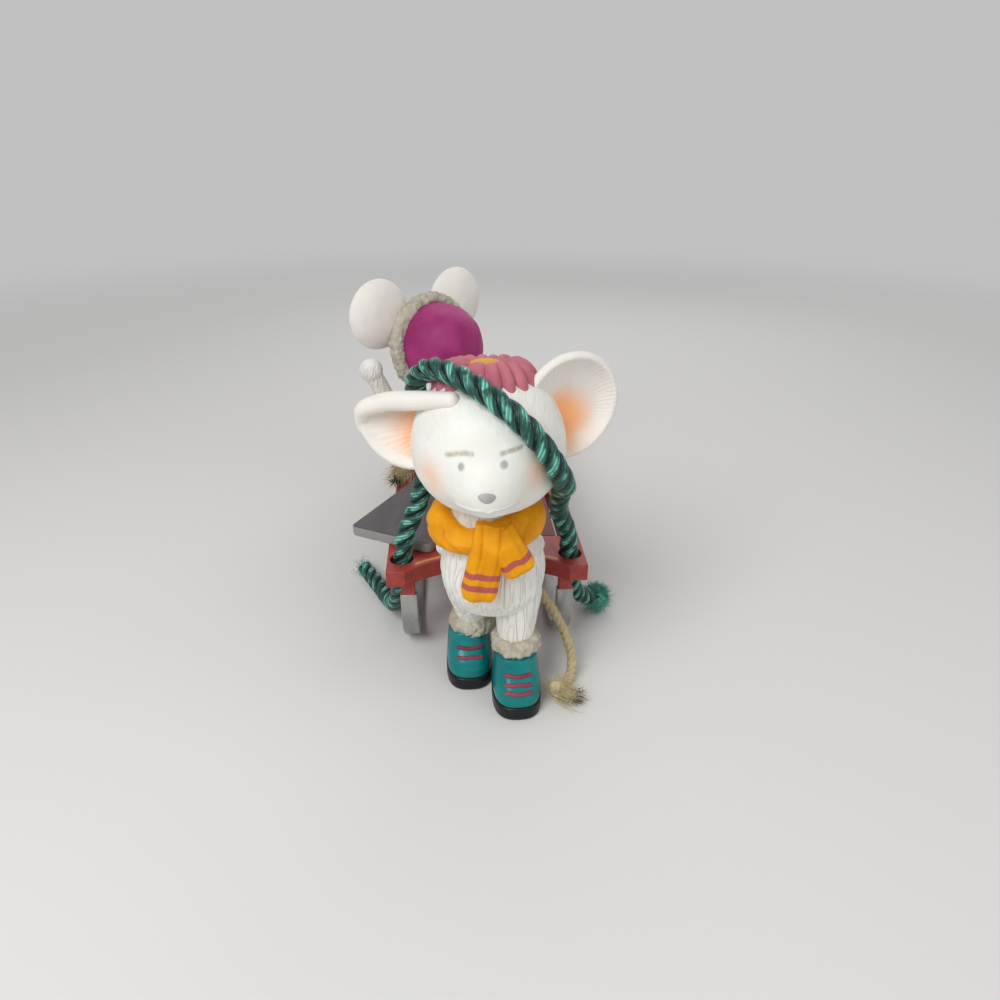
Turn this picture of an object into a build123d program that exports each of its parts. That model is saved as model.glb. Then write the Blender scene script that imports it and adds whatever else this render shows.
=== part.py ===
from build123d import *
import math
import os

# A walking mouse pulls a sled with a second mouse on it, all small painted castings.
# Lengths are in millimetres. The floor is z = 0, the walking mouse looks along -Y and the
# sled stands behind it. Left and right are as seen from the front.

# Fits shared by all pieces
seat_gap = 0.05

# Walking mouse: head, nose and ears
head_radius = 11.5
head_length = 27.6
head_x = 0.2
head_y = 0.2
head_height = 46.2
head_pitch = 5.0
head_turn = -4.0
nose_radius = 1.35
nose_sink = 0.6
ear_radius = 8.4
ear_depth = 3.4
ear_wall = 1.7
ear_turn = 24.0
ear_lean = 8.0
ear_spread = 12.2
ear_back = 1.4
ear_rise = 5.0
left_ear_spread = 12.0
left_ear_rise = 4.0
fold_radius = 1.35
fold_start_rise = 5.4
fold_end_spread = 5.3
fold_end_front = 5.7
fold_end_rise = 8.8

# Knit cap and its button
cap_radius = 7.9
cap_height = 6.4
cap_top_rise = 12.3
cap_back = 3.4
cap_side = 0.4
button_radius = 2.3
button_thickness = 0.9
button_sink = 0.45

# Walking mouse: body, legs and arms
body_radius = 8.6
head_above_body = 15.0
body_x = 0.9
body_y = 2.2
body_bottom = 16.8
neck_radius = 3.8
neck_below_head = 8.2
leg_top_radius = 4.1
leg_bottom_radius = 3.2
leg_top_height = 20.0
hip_spread = 3.9
ankle_radius = 1.4
arm_radius = 1.8
shoulder_spread = 4.8
shoulder_below_body_top = 3.6
elbow_spread = 7.6
elbow_drop = 3.6
elbow_back = 6.6
hand_spread = 2.4
hand_drop = 4.6
hand_back = 9.4
hand_radius = 2.1

# Scarf
wrap_ring_radius = 6.75
wrap_band_radius = 2.35
wrap_below_head = 12.7
wrap_x = -0.2
wrap_y = 1.4
wrap_tilt = 6.0
strip_width = 5.4
strip_thickness = 1.5
strip_pitch = 3.0
long_strip_length = 11.6
long_strip_rise = 2.1
long_strip_x = 0.2
long_strip_turn = 12.0
short_strip_length = 6.6
short_strip_rise = 0.9
short_strip_x = 1.5
short_strip_turn = -27.0

# Boots, soles, laces and fur cuffs
boot_width = 8.3
boot_length = 12.4
boot_height = 9.4
boot_corner = 3.9
boot_edge = 0.25
ankle_width = 7.0
ankle_length = 7.2
sole_height = 2.4
lace_radius = 0.42
lace_length = 4.6
cuff_ring_radius = 2.85
cuff_band_radius = 1.4
right_boot_x = 4.5
right_boot_toe = -8.5
left_boot_x = -3.2
left_boot_toe = -0.4
left_cuff_side = 0.9

# Cotton tails
tail_diameter = 1.5
knot_radius = 1.7
tuft_radius = 1.3
tuft_length = 3.6
rider_tuft_length = 5.6

# Pull rope
rope_diameter = 3.2

# Sled
sled_x = 0.3
sled_width = 35.2
sled_front = 7.5
sled_length = 91.5
deck_height = 19.9
bar_thickness = 3.1
bar_depth = 11.1
bar_bow = 5.2
rope_hole_diameter = 4.1
rope_hole_spread = 15.04
rope_hole_back = 4.58
rail_width = 3.2
board_thickness = 1.8
board_gap = 1.0
board_count = 3
bearer_width = 4.0
post_width = 2.4
post_length = 3.4
post_count = 4
last_post_gap = 8.0
runner_width = 3.0
runner_thickness = 1.5
runner_inset = 3.6
runner_top = 14.0
runner_curl_radius = 11.5
runner_nose = 1.7
runner_tail_gap = 3.0

# Shovel that lies on the deck
blade_width = 17.0
blade_length = 23.0
blade_thickness = 2.0
blade_corner = 1.2
blade_turn = -29.0
blade_tip_x = -24.6
blade_tip_y = 21.3
shaft_diameter = 2.4
shaft_length = 24.0
grip_diameter = 2.8
grip_length = 8.0

# Riding mouse, sizes in its own frame: it looks along -Y from a seat at z = 0
rider_x = -4.9
rider_y = 74.0
rider_turn = 185.0
rider_head_radius = 8.3
rider_head_length = 22.0
rider_head_side = 3.5
rider_head_back = 0.5
rider_head_height = 22.6
rider_head_turn = 36.0
rider_ear_radius = 7.9
rider_ear_spread = 11.4
rider_ear_rise = 7.8
rider_ear_forward = 5.2
hood_radius = 9.6
hood_depth = 12.4
hood_front = 1.4
hood_wall = 0.8
trim_ring_radius = 10.2
trim_band_radius = 1.8
rider_body_radius = 8.6
rider_head_above_body = 12.6
rider_body_lean = 12.0
rider_neck_radius = 2.6
rider_neck_back = 5.0
rider_shoulder_below_body_top = 1.6
rider_elbow_reach = 5.2
rider_arm_radius = 2.1
rider_paw_radius = 2.6
rider_reach = 22.0
rider_leg_radius = 2.9
rider_leg_spread = 4.6
rider_hip_height = 3.4


# Heights that follow from the sizes above
body_height = head_height - head_above_body - body_bottom
neck_top = head_height - neck_below_head
shoulder_height = body_bottom + body_height - shoulder_below_body_top
elbow_height = shoulder_height - elbow_drop
hand_height = shoulder_height - hand_drop
wrap_height = head_height - wrap_below_head
long_strip_top = wrap_height + long_strip_rise
short_strip_top = wrap_height + short_strip_rise
rider_body_height = rider_head_height - rider_head_above_body
rider_shoulder_height = rider_body_height - rider_shoulder_below_body_top


# Shapes that several pieces share

def turnedSolid(profile_shares, radius, height):
    points = [(radius * across, 0, height * up) for across, up in profile_shares]
    side = Spline(*points, tangents=((1, 0, 0), (-1, 0, 0)))
    return revolve(make_face([side, Line(side @ 1, side @ 0)]), Axis.Z)


def roundBar(start, end, radius):
    start, end = Vector(*start), Vector(*end)
    length = (end - start).length
    slant = radius * math.sqrt(0.5)
    tail = ThreePointArc((0, 0, -radius), (slant, 0, -slant), (radius, 0, 0))
    wall = Line((radius, 0, 0), (radius, 0, length))
    tip = ThreePointArc((radius, 0, length), (slant, 0, length + slant), (0, 0, length + radius))
    face = make_face([tail, wall, tip, Line(tip @ 1, tail @ 0)])
    return Plane(origin=start, z_dir=end - start).location * revolve(face, Axis.Z)


def earCup(radius):
    rim = radius - ear_wall
    back = Spline((0, 0, -ear_depth), (radius * 0.72, 0, -ear_depth * 0.62), (radius, 0, 0))
    edge = ThreePointArc((radius, 0, 0), (radius - ear_wall / 2, 0, ear_wall / 2), (rim, 0, 0))
    front = Spline((rim, 0, 0), (rim * 0.66, 0, (ear_wall - ear_depth) * 0.62), (0, 0, ear_wall - ear_depth))
    face = make_face([back, edge, front, Line(front @ 1, back @ 0)])
    return revolve(face, Axis.Z)


def cordTube(points, diameter, label):
    radii = []
    for before, corner, after in zip(points, points[1:], points[2:]):
        run_in = Vector(*corner) - Vector(*before)
        run_out = Vector(*after) - Vector(*corner)
        turn = math.radians(run_in.get_angle(run_out))
        radii.append(0.45 * min(run_in.length, run_out.length) / math.tan(turn / 2))
    path = FilletPolyline(*points, radius=radii)
    tube = sweep(Plane(origin=path @ 0, z_dir=path % 0) * Circle(diameter / 2), path=path)
    fill = tube.volume / (math.pi * diameter ** 2 / 4 * path.length)
    print(label, "length", round(path.length, 1), "least radius", round(min(radii), 1),
          "volume against section times length", round(fill, 4))
    return tube


def coneFrom(start, direction, base_radius, tip_radius, length):
    cone = Cone(base_radius, tip_radius, length, align=(Align.CENTER, Align.CENTER, Align.MIN))
    return Plane(origin=Vector(*start), z_dir=Vector(*direction)).location * cone


# Boots, upright with the middle of the sole at the origin and the toe along -Y

boot_layer_shares = [(0.0, 1.0, 1.0, 0.0), (0.3, 1.0, 0.94, 0.16), (0.62, 0.55, 0.42, 0.66), (1.0, 0.0, 0.0, 1.0)]
lace_shares = [(0.30, 0.085), (0.47, 0.165), (0.62, 0.245)]


def ankleBack():
    return (boot_length - ankle_length) / 4


def bootUpper():
    wide, long = boot_width - 2 * boot_edge, boot_length - 2 * boot_edge
    faces = []
    for height_share, width_share, length_share, back_share in boot_layer_shares:
        width = ankle_width + (wide - ankle_width) * width_share
        length = ankle_length + (long - ankle_length) * length_share
        corner = min(width, length) * 0.45
        height = sole_height + (boot_height - sole_height) * height_share
        plane = Plane(origin=(0, ankleBack() * back_share, height))
        faces.append(plane * RectangleRounded(width, length, corner))
    return loft(faces)


def bootSole():
    return extrude(RectangleRounded(boot_width, boot_length, boot_corner), sole_height)


def laceBars(count):
    bars = []
    for height_share, back_share in lace_shares[:count]:
        height = sole_height + (boot_height - sole_height) * height_share
        front = boot_length * (back_share - 0.5)
        half = lace_length / 2 - lace_radius
        bars.append(roundBar((-half, front, height), (half, front, height), lace_radius))
    return bars


def furCuff():
    return Pos(0, 0, boot_height + cuff_band_radius + seat_gap) * Torus(cuff_ring_radius, cuff_band_radius)


# Walking mouse

head_profile_shares = [(0, -0.42), (0.62, -0.365), (0.97, -0.14), (0.985, 0.07), (0.76, 0.29), (0.48, 0.44),
                       (0.24, 0.55), (0, 0.58)]
cap_profile_shares = [(0, 0), (0.9, 0.03), (1.0, 0.3), (0.93, 0.66), (0.7, 0.9), (0.3, 0.985), (0, 1.0)]
body_profile_shares = [(0, 0), (0.55, 0.05), (0.93, 0.3), (1.0, 0.53), (0.92, 0.78), (0.78, 0.93), (0.5, 0.99),
                       (0, 1.0)]
head_axis = Plane(origin=(head_x, head_y, head_height),
                  z_dir=Vector(0, -1, 0).rotate(Axis.X, head_pitch).rotate(Axis.Z, head_turn))


def makeHead():
    return head_axis.location * turnedSolid(head_profile_shares, head_radius, head_length)


def noseBead(axis, length, radius):
    tip = length * head_profile_shares[-1][1]
    return axis.location * Pos(0, 0, tip - nose_sink + radius / 2) * Sphere(radius)


def makeRightEar():
    place = Pos(head_x + ear_spread, head_y + ear_back, head_height + ear_rise)
    return place * Rot(0, ear_lean, 0) * Rot(0, 0, ear_turn) * Rot(90, 0, 0) * earCup(ear_radius)


def makeLeftEar():
    place = Pos(head_x - left_ear_spread, head_y + ear_back, head_height) * Rot(0, 0, -ear_turn)
    cup = place * Pos(0, 0, left_ear_rise) * Rot(90, 0, 0) * Rot(0, 0, 180) * earCup(ear_radius)
    span = 4 * ear_radius
    cup -= place * Pos(0, 0, fold_start_rise + span / 2) * Box(span, span, span)
    start = (place * Pos(-ear_radius * 0.84, 0, fold_start_rise)).position
    end = Vector(head_x - fold_end_spread, head_y - fold_end_front, head_height + fold_end_rise)
    return cup + roundBar(start, end, fold_radius)


def makeCap():
    dome = turnedSolid(cap_profile_shares, cap_radius, cap_height)
    return Pos(head_x + cap_side, head_y + cap_back, head_height + cap_top_rise - cap_height) * dome


def makeCapButton():
    rise = cap_top_rise - button_sink + button_thickness / 2
    place = Pos(head_x + cap_side, head_y + cap_back, head_height + rise)
    return place * Cylinder(button_radius, button_thickness)


def bootPlace(side):
    if side < 0:
        return left_boot_x, left_boot_toe + boot_length / 2
    return right_boot_x, right_boot_toe + boot_length / 2


def anklePlace(side):
    x, y = bootPlace(side)
    return (x + left_cuff_side if side < 0 else x), y + ankleBack()


def makeBody():
    place = Pos(body_x, body_y, body_bottom) * Rot(0, 0, -90)
    trunk = place * turnedSolid(body_profile_shares, body_radius, body_height)
    middle = body_bottom + body_height / 2
    neck = Cylinder(neck_radius, neck_top - middle, align=(Align.CENTER, Align.CENTER, Align.MIN))
    trunk += Pos(wrap_x, wrap_y, middle) * neck
    for side in (-1, 1):
        x, y = anklePlace(side)
        knee = boot_height + 2 * (cuff_band_radius + seat_gap)
        shin = Plane(origin=(x, y, knee)) * Circle(leg_bottom_radius)
        hip = (body_x + side * hip_spread, body_y + (y - body_y) / 3, leg_top_height)
        trunk += loft([shin, Plane(origin=hip) * Circle(leg_top_radius)])
        peg = Cylinder(ankle_radius, knee + leg_bottom_radius / 2 - boot_height,
                       align=(Align.CENTER, Align.CENTER, Align.MIN))
        trunk += Pos(x, y, boot_height) * peg
    return trunk


def makeArm(side):
    shoulder = (body_x - shoulder_spread, body_y + arm_radius, shoulder_height)
    elbow = (body_x - elbow_spread, body_y + elbow_back, elbow_height)
    hand = (body_x - hand_spread, body_y + hand_back, hand_height)
    arm = roundBar(shoulder, elbow, arm_radius) + roundBar(elbow, hand, arm_radius)
    arm += Pos(*hand) * Sphere(hand_radius)
    return arm if side < 0 else mirror(arm, about=Plane.YZ.offset(body_x))


def makeScarfWrap():
    return Pos(wrap_x, wrap_y, wrap_height) * Rot(wrap_tilt, 0, 0) * Torus(wrap_ring_radius, wrap_band_radius)


def scarfStrip(x, top, turn, length):
    outline = Pos(0, -length / 2) * RectangleRounded(strip_width, length, strip_width / 3)
    slab = Rot(90, 0, 0) * extrude(outline, strip_thickness)
    front = wrap_y - wrap_ring_radius - wrap_band_radius - seat_gap
    return Pos(x, front, top) * Rot(-strip_pitch, 0, 0) * Rot(0, turn, 0) * slab


# Cotton tails, by the points that they run through

mouse_tail_route = [(5.6, 8.0, 19.4), (8.8, 8.3, 15.8), (11.5, 7.3, 11.8), (13.8, 5.7, 7.8),
                    (15.0, 3.6, 4.0), (14.8, 0.7, 1.3), (12.4, -1.9, 0.9)]
rider_tail_route = [(-5.0, 67.4, 22.2), (-7.6, 62.6, 21.0), (-11.6, 59.0, 20.75), (-15.0, 54.0, 20.75),
                    (-16.0, 48.4, 20.75)]


knot_seat_share = 0.8


def tailTassel(route, direction, length, ground):
    end, before = Vector(*route[-1]), Vector(*route[-2])
    onward = (end - before).normalized()
    centre = end + onward * knot_radius * knot_seat_share
    height = ground + knot_radius
    tuft = coneFrom((centre.X, centre.Y, height), direction, tuft_radius * 0.7, tuft_radius, length + knot_radius)
    span = 4 * knot_radius
    behind = Box(span, span, span, align=(Align.CENTER, Align.CENTER, Align.MAX))
    knot = Pos(centre.X, centre.Y, height) * Sphere(knot_radius) + tuft
    return knot - Plane(origin=end, z_dir=onward).location * behind


# Pull rope, by the points that it runs through

rope_head_route = [(-10.4, 10.6, 34.6), (-9.25, 10.025, 39.66), (-9.4, 10.4, 45.2), (-10.4, 8.8, 50.6),
                   (-10.6, 4.6, 55.0), (-7.6, -0.8, 58.6), (-2.4, -7.4, 58.0), (3.2, -11.2, 54.6),
                   (7.5, -11.6, 49.6), (9.9, -9.6, 44.6), (11.2, -5.4, 41.0), (11.67, 0.69, 38.885),
                   (11.9, 4.6, 34.4)]
rope_left_route = [(-10.4, 10.6, 34.6), (-11.4, 11.1, 30.2), (-13.9, 11.1, 25.6), (-14.5, 11.8, 20.4)]
rope_right_route = [(11.9, 4.6, 34.4), (12.1, 8.0, 30.5), (14.5, 11.1, 25.6), (15.1, 11.8, 20.4)]
rope_left_end_route = [(-14.5, 11.8, 20.4), (-15.19, 12.605, 14.42), (-16.2, 15.4, 9.4), (-17.2, 19.6, 5.2),
                       (-18.8, 25.2, 2.6), (-21.2, 31.8, 1.75), (-25.0, 39.4, 1.75)]
rope_right_end_route = [(15.1, 11.8, 20.4), (15.79, 12.605, 14.42), (17.1, 15.6, 9.6), (19.6, 19.2, 5.8),
                        (22.8, 22.6, 3.2)]


# Sled

def makeFrontBar():
    half = sled_width / 2
    inner = half - rail_width
    back = sled_front + bar_depth
    bow = ThreePointArc((-inner, sled_front), (0, sled_front + bar_bow), (inner, sled_front))
    rim = Polyline((inner, sled_front), (half, sled_front), (half, back), (-half, back),
                   (-half, sled_front), (-inner, sled_front))
    bar = Pos(sled_x, 0, deck_height - bar_thickness) * extrude(make_face([bow, rim]), bar_thickness)
    for side in (-1, 1):
        hole = Cylinder(rope_hole_diameter / 2, 2 * bar_thickness + rope_hole_diameter)
        bar -= Pos(sled_x + side * rope_hole_spread, sled_front + rope_hole_back, deck_height) * hole
    return bar


def railStart():
    return sled_front + bar_depth + seat_gap


def railEnd():
    return sled_front + sled_length


def makeRail(side):
    rail = Box(rail_width, railEnd() - railStart(), bar_thickness, align=(Align.CENTER, Align.MIN, Align.MAX))
    return Pos(sled_x + side * (sled_width - rail_width) / 2, railStart(), deck_height) * rail


def boardWidth():
    inner = sled_width - 2 * rail_width - 2 * board_gap
    return (inner - board_gap * (board_count - 1)) / board_count


def makeBoard(index):
    x = sled_x + (index - (board_count - 1) / 2) * (boardWidth() + board_gap)
    board = Box(boardWidth(), railEnd() - railStart(), board_thickness,
                align=(Align.CENTER, Align.MIN, Align.MAX))
    return Pos(x, railStart(), deck_height) * board


def postPlaces():
    last = railEnd() - last_post_gap
    return [railStart() + (last - railStart()) * step / (post_count - 1) for step in range(1, post_count)]


def makeBearer(y):
    bar = Box(sled_width - 2 * rail_width, bearer_width, bar_thickness - board_thickness,
              align=(Align.CENTER, Align.CENTER, Align.MIN))
    return Pos(sled_x, y, deck_height - bar_thickness) * bar


def runnerX(side):
    return sled_x + side * (sled_width / 2 - runner_inset)


def makePosts(side):
    top = deck_height - bar_thickness
    centred = (Align.CENTER, Align.CENTER, Align.MIN)
    nose = Box(post_width, runner_thickness, top - runner_top, align=centred)
    posts = [Pos(runnerX(side), sled_front + runner_nose + runner_thickness / 2, runner_top) * nose]
    post = Box(post_width, post_length, top - runner_thickness, align=centred)
    return posts + [Pos(runnerX(side), y, runner_thickness) * post for y in postPlaces()]


def makeRunner(side):
    outer = runner_curl_radius
    inner = outer - runner_thickness
    nose = sled_front + runner_nose
    back = nose + outer
    end = railEnd() - runner_tail_gap
    slant = math.sqrt(0.5)
    outside = ThreePointArc((0, nose, outer), (0, back - outer * slant, outer - outer * slant), (0, back, 0))
    inside = ThreePointArc((0, back, runner_thickness), (0, back - inner * slant, outer - inner * slant),
                           (0, nose + runner_thickness, outer))
    flat = Polyline((0, back, 0), (0, end, 0), (0, end, runner_thickness), (0, back, runner_thickness))
    top = Polyline((0, nose + runner_thickness, outer), (0, nose + runner_thickness, runner_top),
                   (0, nose, runner_top), (0, nose, outer))
    profile = make_face([outside, flat, inside, top])
    band = extrude(profile, runner_width / 2, dir=(1, 0, 0), both=True)
    return Pos(runnerX(side), 0, 0) * band


# Shovel, flat on the deck with one corner of its blade over the left rail

def shovelPlace(x, y, z):
    corner = Pos(blade_tip_x, blade_tip_y, deck_height + seat_gap)
    return corner * Rot(0, 0, blade_turn) * Pos(x, y, z)


def makeBlade():
    blade = Box(blade_width, blade_length, blade_thickness, align=(Align.MIN, Align.MIN, Align.MIN))
    return shovelPlace(0, 0, 0) * fillet(blade.edges().filter_by(Axis.Z), blade_corner)


def makeShaft():
    rod = Cylinder(shaft_diameter / 2, shaft_length, align=(Align.CENTER, Align.CENTER, Align.MIN))
    return shovelPlace(blade_width / 2, blade_length, shaft_diameter / 2) * Rot(-90, 0, 0) * rod


def makeGrip():
    end = blade_length + shaft_length + grip_diameter / 2
    grip = Cylinder(grip_diameter / 2, grip_length)
    return shovelPlace(blade_width / 2, end, grip_diameter / 2) * Rot(0, 90, 0) * grip


# Riding mouse

rider_body_profile_shares = [(0, 0), (0.84, 0.03), (1.0, 0.22), (0.9, 0.55), (0.7, 0.82), (0.5, 0.96), (0, 1.0)]
hood_profile_shares = [(0, -1.0), (0.62, -0.83), (0.96, -0.36), (1.0, 0.0)]
rider_place = Pos(rider_x, rider_y, deck_height + seat_gap) * Rot(0, 0, rider_turn)
rider_head_axis = Plane(origin=(rider_head_side, rider_head_back, rider_head_height),
                        z_dir=Vector(0, -1, 0).rotate(Axis.X, head_pitch).rotate(Axis.Z, rider_head_turn))


def makeRiderHead():
    return rider_head_axis.location * turnedSolid(head_profile_shares, rider_head_radius, rider_head_length)


def makeRiderEar(side):
    head = Pos(rider_head_side, rider_head_back, rider_head_height) * Rot(0, 0, rider_head_turn)
    place = Pos(side * rider_ear_spread, -rider_ear_forward, rider_ear_rise)
    seam = 0 if side > 0 else 180
    cup = Rot(0, side * ear_lean, 0) * Rot(90, 0, 0) * Rot(0, 0, seam) * earCup(rider_ear_radius)
    reach = hood_front + trim_band_radius + seat_gap
    collar = Cylinder(trim_ring_radius + trim_band_radius + seat_gap, hood_depth + reach,
                      align=(Align.CENTER, Align.CENTER, Align.MAX))
    return head * place * cup - rider_head_axis.location * Pos(0, 0, reach) * collar


def hoodCurve(radius, depth):
    points = [(radius * across, 0, depth * up) for across, up in hood_profile_shares]
    side = Spline(*points, tangents=((1, 0, 0), (0, 0, 1)))
    return [side, Line(points[-1], (radius, 0, hood_front))]


def makeHood():
    outer = hoodCurve(hood_radius, hood_depth)
    inner = hoodCurve(hood_radius - hood_wall, hood_depth - hood_wall)
    rim = Line(outer[1] @ 1, inner[1] @ 1)
    back = Line(inner[0] @ 0, outer[0] @ 0)
    return rider_head_axis.location * revolve(make_face([*outer, rim, *inner, back]), Axis.Z)


def makeHoodTrim():
    return rider_head_axis.location * Pos(0, 0, hood_front) * Torus(trim_ring_radius, trim_band_radius)


def makeRiderBody():
    trunk = turnedSolid(rider_body_profile_shares, rider_body_radius, rider_body_height)
    trunk = Rot(0, rider_body_lean, 0) * trunk
    below = 2 * rider_body_radius
    trunk -= Pos(0, 0, -below / 2) * Box(2 * below, 2 * below, below)
    neck = Cylinder(rider_neck_radius, rider_head_height - rider_shoulder_height,
                    align=(Align.CENTER, Align.CENTER, Align.MIN))
    trunk += Pos(rider_head_side * 0.8, rider_neck_back, rider_shoulder_height) * neck
    for side in (-1, 1):
        x = side * rider_leg_spread
        hip = Vector(x, -rider_body_radius / 3, rider_hip_height)
        rise = boot_length / 2 - ankleBack()
        top = boot_height - rider_reach
        shin = Plane(origin=(x, top + 2 * (cuff_band_radius + seat_gap), rise), z_dir=(0, 1, 0))
        thigh = Plane(origin=hip, z_dir=(0, 1, 0))
        trunk += loft([shin * Circle(rider_leg_radius), thigh * Circle(rider_leg_radius)])
        peg = Cylinder(ankle_radius, rider_reach / 2, align=(Align.CENTER, Align.CENTER, Align.MIN))
        trunk += Plane(origin=(x, top, rise), z_dir=(0, 1, 0)).location * peg
    return trunk


def makeRiderArm(side):
    shoulder = Vector(side * rider_body_radius * 0.75 + rider_arm_radius, 0, rider_shoulder_height)
    if side > 0:
        elbow = shoulder + Vector(1.2, 0.3, -0.1) * rider_elbow_reach
        paw = elbow + Vector(0.8, 0.4, 1.9) * rider_elbow_reach
    else:
        elbow = shoulder + Vector(-0.8, 0.1, -0.6) * rider_elbow_reach
        paw = Vector(elbow.X - rider_arm_radius, -rider_body_radius * 0.6, rider_paw_radius)
    arm = roundBar(shoulder, elbow, rider_arm_radius) + roundBar(elbow, paw, rider_arm_radius)
    return arm + Pos(*paw) * Sphere(rider_paw_radius)


def riderFoot(side, piece):
    place = Pos(side * rider_leg_spread, -rider_reach, boot_length / 2)
    return place * Rot(-90, 0, 0) * piece


# Assembly: each later piece is trimmed by what it sits on, so that seats match

def trimmed(piece, *carriers):
    for carrier in carriers:
        remains = (piece - carrier).solids()
        piece = max(remains, key=lambda solid: solid.volume)
    return piece


def mousePieces():
    pieces = {}
    nose = noseBead(head_axis, head_length, nose_radius)
    head = makeHead() - nose
    pieces["mouse_head"] = head
    pieces["mouse_nose"] = nose
    pieces["mouse_left_ear"] = trimmed(makeLeftEar(), makeHead())
    pieces["mouse_right_ear"] = trimmed(makeRightEar(), makeHead())
    button = makeCapButton()
    cap = trimmed(makeCap(), makeHead(), pieces["mouse_left_ear"], pieces["mouse_right_ear"], button)
    pieces["knit_cap"] = cap
    pieces["cap_button"] = button
    body = trimmed(makeBody(), makeHead())
    pieces["mouse_body"] = body
    pieces["scarf_wrap"] = makeScarfWrap()
    long_strip = scarfStrip(long_strip_x, long_strip_top, long_strip_turn, long_strip_length)
    short_strip = trimmed(scarfStrip(short_strip_x, short_strip_top, short_strip_turn, short_strip_length),
                          long_strip)
    pieces["scarf_long_end"] = long_strip
    pieces["scarf_short_end"] = short_strip
    lace_bars = []
    for side, word in ((-1, "left"), (1, "right")):
        pieces["mouse_" + word + "_arm"] = trimmed(makeArm(side), body)
        x, y = bootPlace(side)
        laces = laceBars(2 if side < 0 else 3)
        upper = bootUpper()
        for bar in laces:
            upper -= bar
        pieces["mouse_" + word + "_boot"] = Pos(x, y, 0) * upper
        pieces["mouse_" + word + "_boot_sole"] = Pos(x, y, 0) * bootSole()
        lace_bars += [Pos(x, y, 0) * bar for bar in laces]
        pieces["mouse_" + word + "_fur_cuff"] = Pos(*anklePlace(side), 0) * furCuff()
    pieces["boot_laces"] = Compound(lace_bars)
    return pieces


def tailPieces(word, route, body, direction, length, ground):
    tube = cordTube(route, tail_diameter, word + "_tail")
    tassel = tailTassel(route, direction, length, ground)
    return {word + "_tail_cord": trimmed(tube, body), word + "_tail_tassel": tassel}


def ropePieces():
    pieces = {}
    routes = {"rope_over_head": rope_head_route, "rope_left_drop": rope_left_route,
              "rope_right_drop": rope_right_route, "rope_left_end": rope_left_end_route,
              "rope_right_end": rope_right_end_route}
    for name, route in routes.items():
        pieces[name] = cordTube(route, rope_diameter, name)
    return pieces


def sledPieces():
    pieces = {"sled_front_bar": makeFrontBar()}
    for side, word in ((-1, "left"), (1, "right")):
        pieces["sled_" + word + "_rail"] = makeRail(side)
        pieces["sled_" + word + "_posts"] = Compound(makePosts(side))
        pieces["sled_" + word + "_runner"] = makeRunner(side)
    for index in range(board_count):
        pieces["deck_board_" + str(index + 1)] = makeBoard(index)
    pieces["deck_bearers"] = Compound([makeBearer(y) for y in postPlaces()])
    pieces["shovel_blade"] = makeBlade()
    pieces["shovel_shaft"] = makeShaft()
    pieces["shovel_grip"] = makeGrip()
    return pieces


def riderPieces():
    nose = noseBead(rider_head_axis, rider_head_length, nose_radius)
    whole_head = makeRiderHead()
    body = trimmed(makeRiderBody(), whole_head)
    trim = makeHoodTrim()
    hood = trimmed(makeHood(), trim, body)
    pieces = {"rider_head": whole_head - nose, "rider_nose": nose, "rider_body": body, "rider_hood": hood,
              "rider_hood_trim": trim}
    for side, word in ((-1, "right"), (1, "left")):
        pieces["rider_" + word + "_ear"] = trimmed(makeRiderEar(side), whole_head)
        pieces["rider_" + word + "_arm"] = trimmed(makeRiderArm(side), body)
        upper = bootUpper()
        pieces["rider_" + word + "_boot"] = riderFoot(side, upper)
        pieces["rider_" + word + "_boot_sole"] = riderFoot(side, bootSole())
        pieces["rider_" + word + "_fur_cuff"] = riderFoot(side, Pos(0, ankleBack(), 0) * furCuff())
    return {name: rider_place * piece for name, piece in pieces.items()}


def allPieces():
    mouse = mousePieces()
    rider = riderPieces()
    pieces = dict(mouse)
    pieces.update(tailPieces("mouse", mouse_tail_route, mouse["mouse_body"], (0.9, -0.6, 0.0), tuft_length, 0))
    pieces.update(ropePieces())
    pieces.update(sledPieces())
    pieces.update(rider)
    pieces.update(tailPieces("rider", rider_tail_route, rider["rider_body"], (-0.25, -1.0, 0.0),
                             rider_tuft_length, deck_height + seat_gap))
    return pieces


cord_words = ("rope_", "mouse_tail_", "rider_tail_")


def centredPieces(pieces):
    boxes = [piece.bounding_box() for name, piece in pieces.items() if not name.startswith(cord_words)]
    middle_x = (min(box.min.X for box in boxes) + max(box.max.X for box in boxes)) / 2
    middle_y = (min(box.min.Y for box in boxes) + max(box.max.Y for box in boxes)) / 2
    floor = min(box.min.Z for box in boxes)
    print("moved by", round(-middle_x, 4), round(-middle_y, 4), round(-floor, 4))
    move = Pos(-middle_x, -middle_y, -floor)
    return {name: move * piece for name, piece in pieces.items()}


def main():
    os.makedirs("parts", exist_ok=True)
    pieces = centredPieces(allPieces())
    for name, piece in pieces.items():
        export_step(piece, "parts/" + name + ".step")
    print(len(pieces), "nodes written")
    return pieces


if __name__ == "__main__":
    main()
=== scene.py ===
import bpy
import bmesh
from math import atan2, copysign, cos, exp, hypot, pi, radians, sin, sqrt
import random
from mathutils import Matrix, Vector, noise
from mathutils.bvhtree import BVHTree


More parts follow.
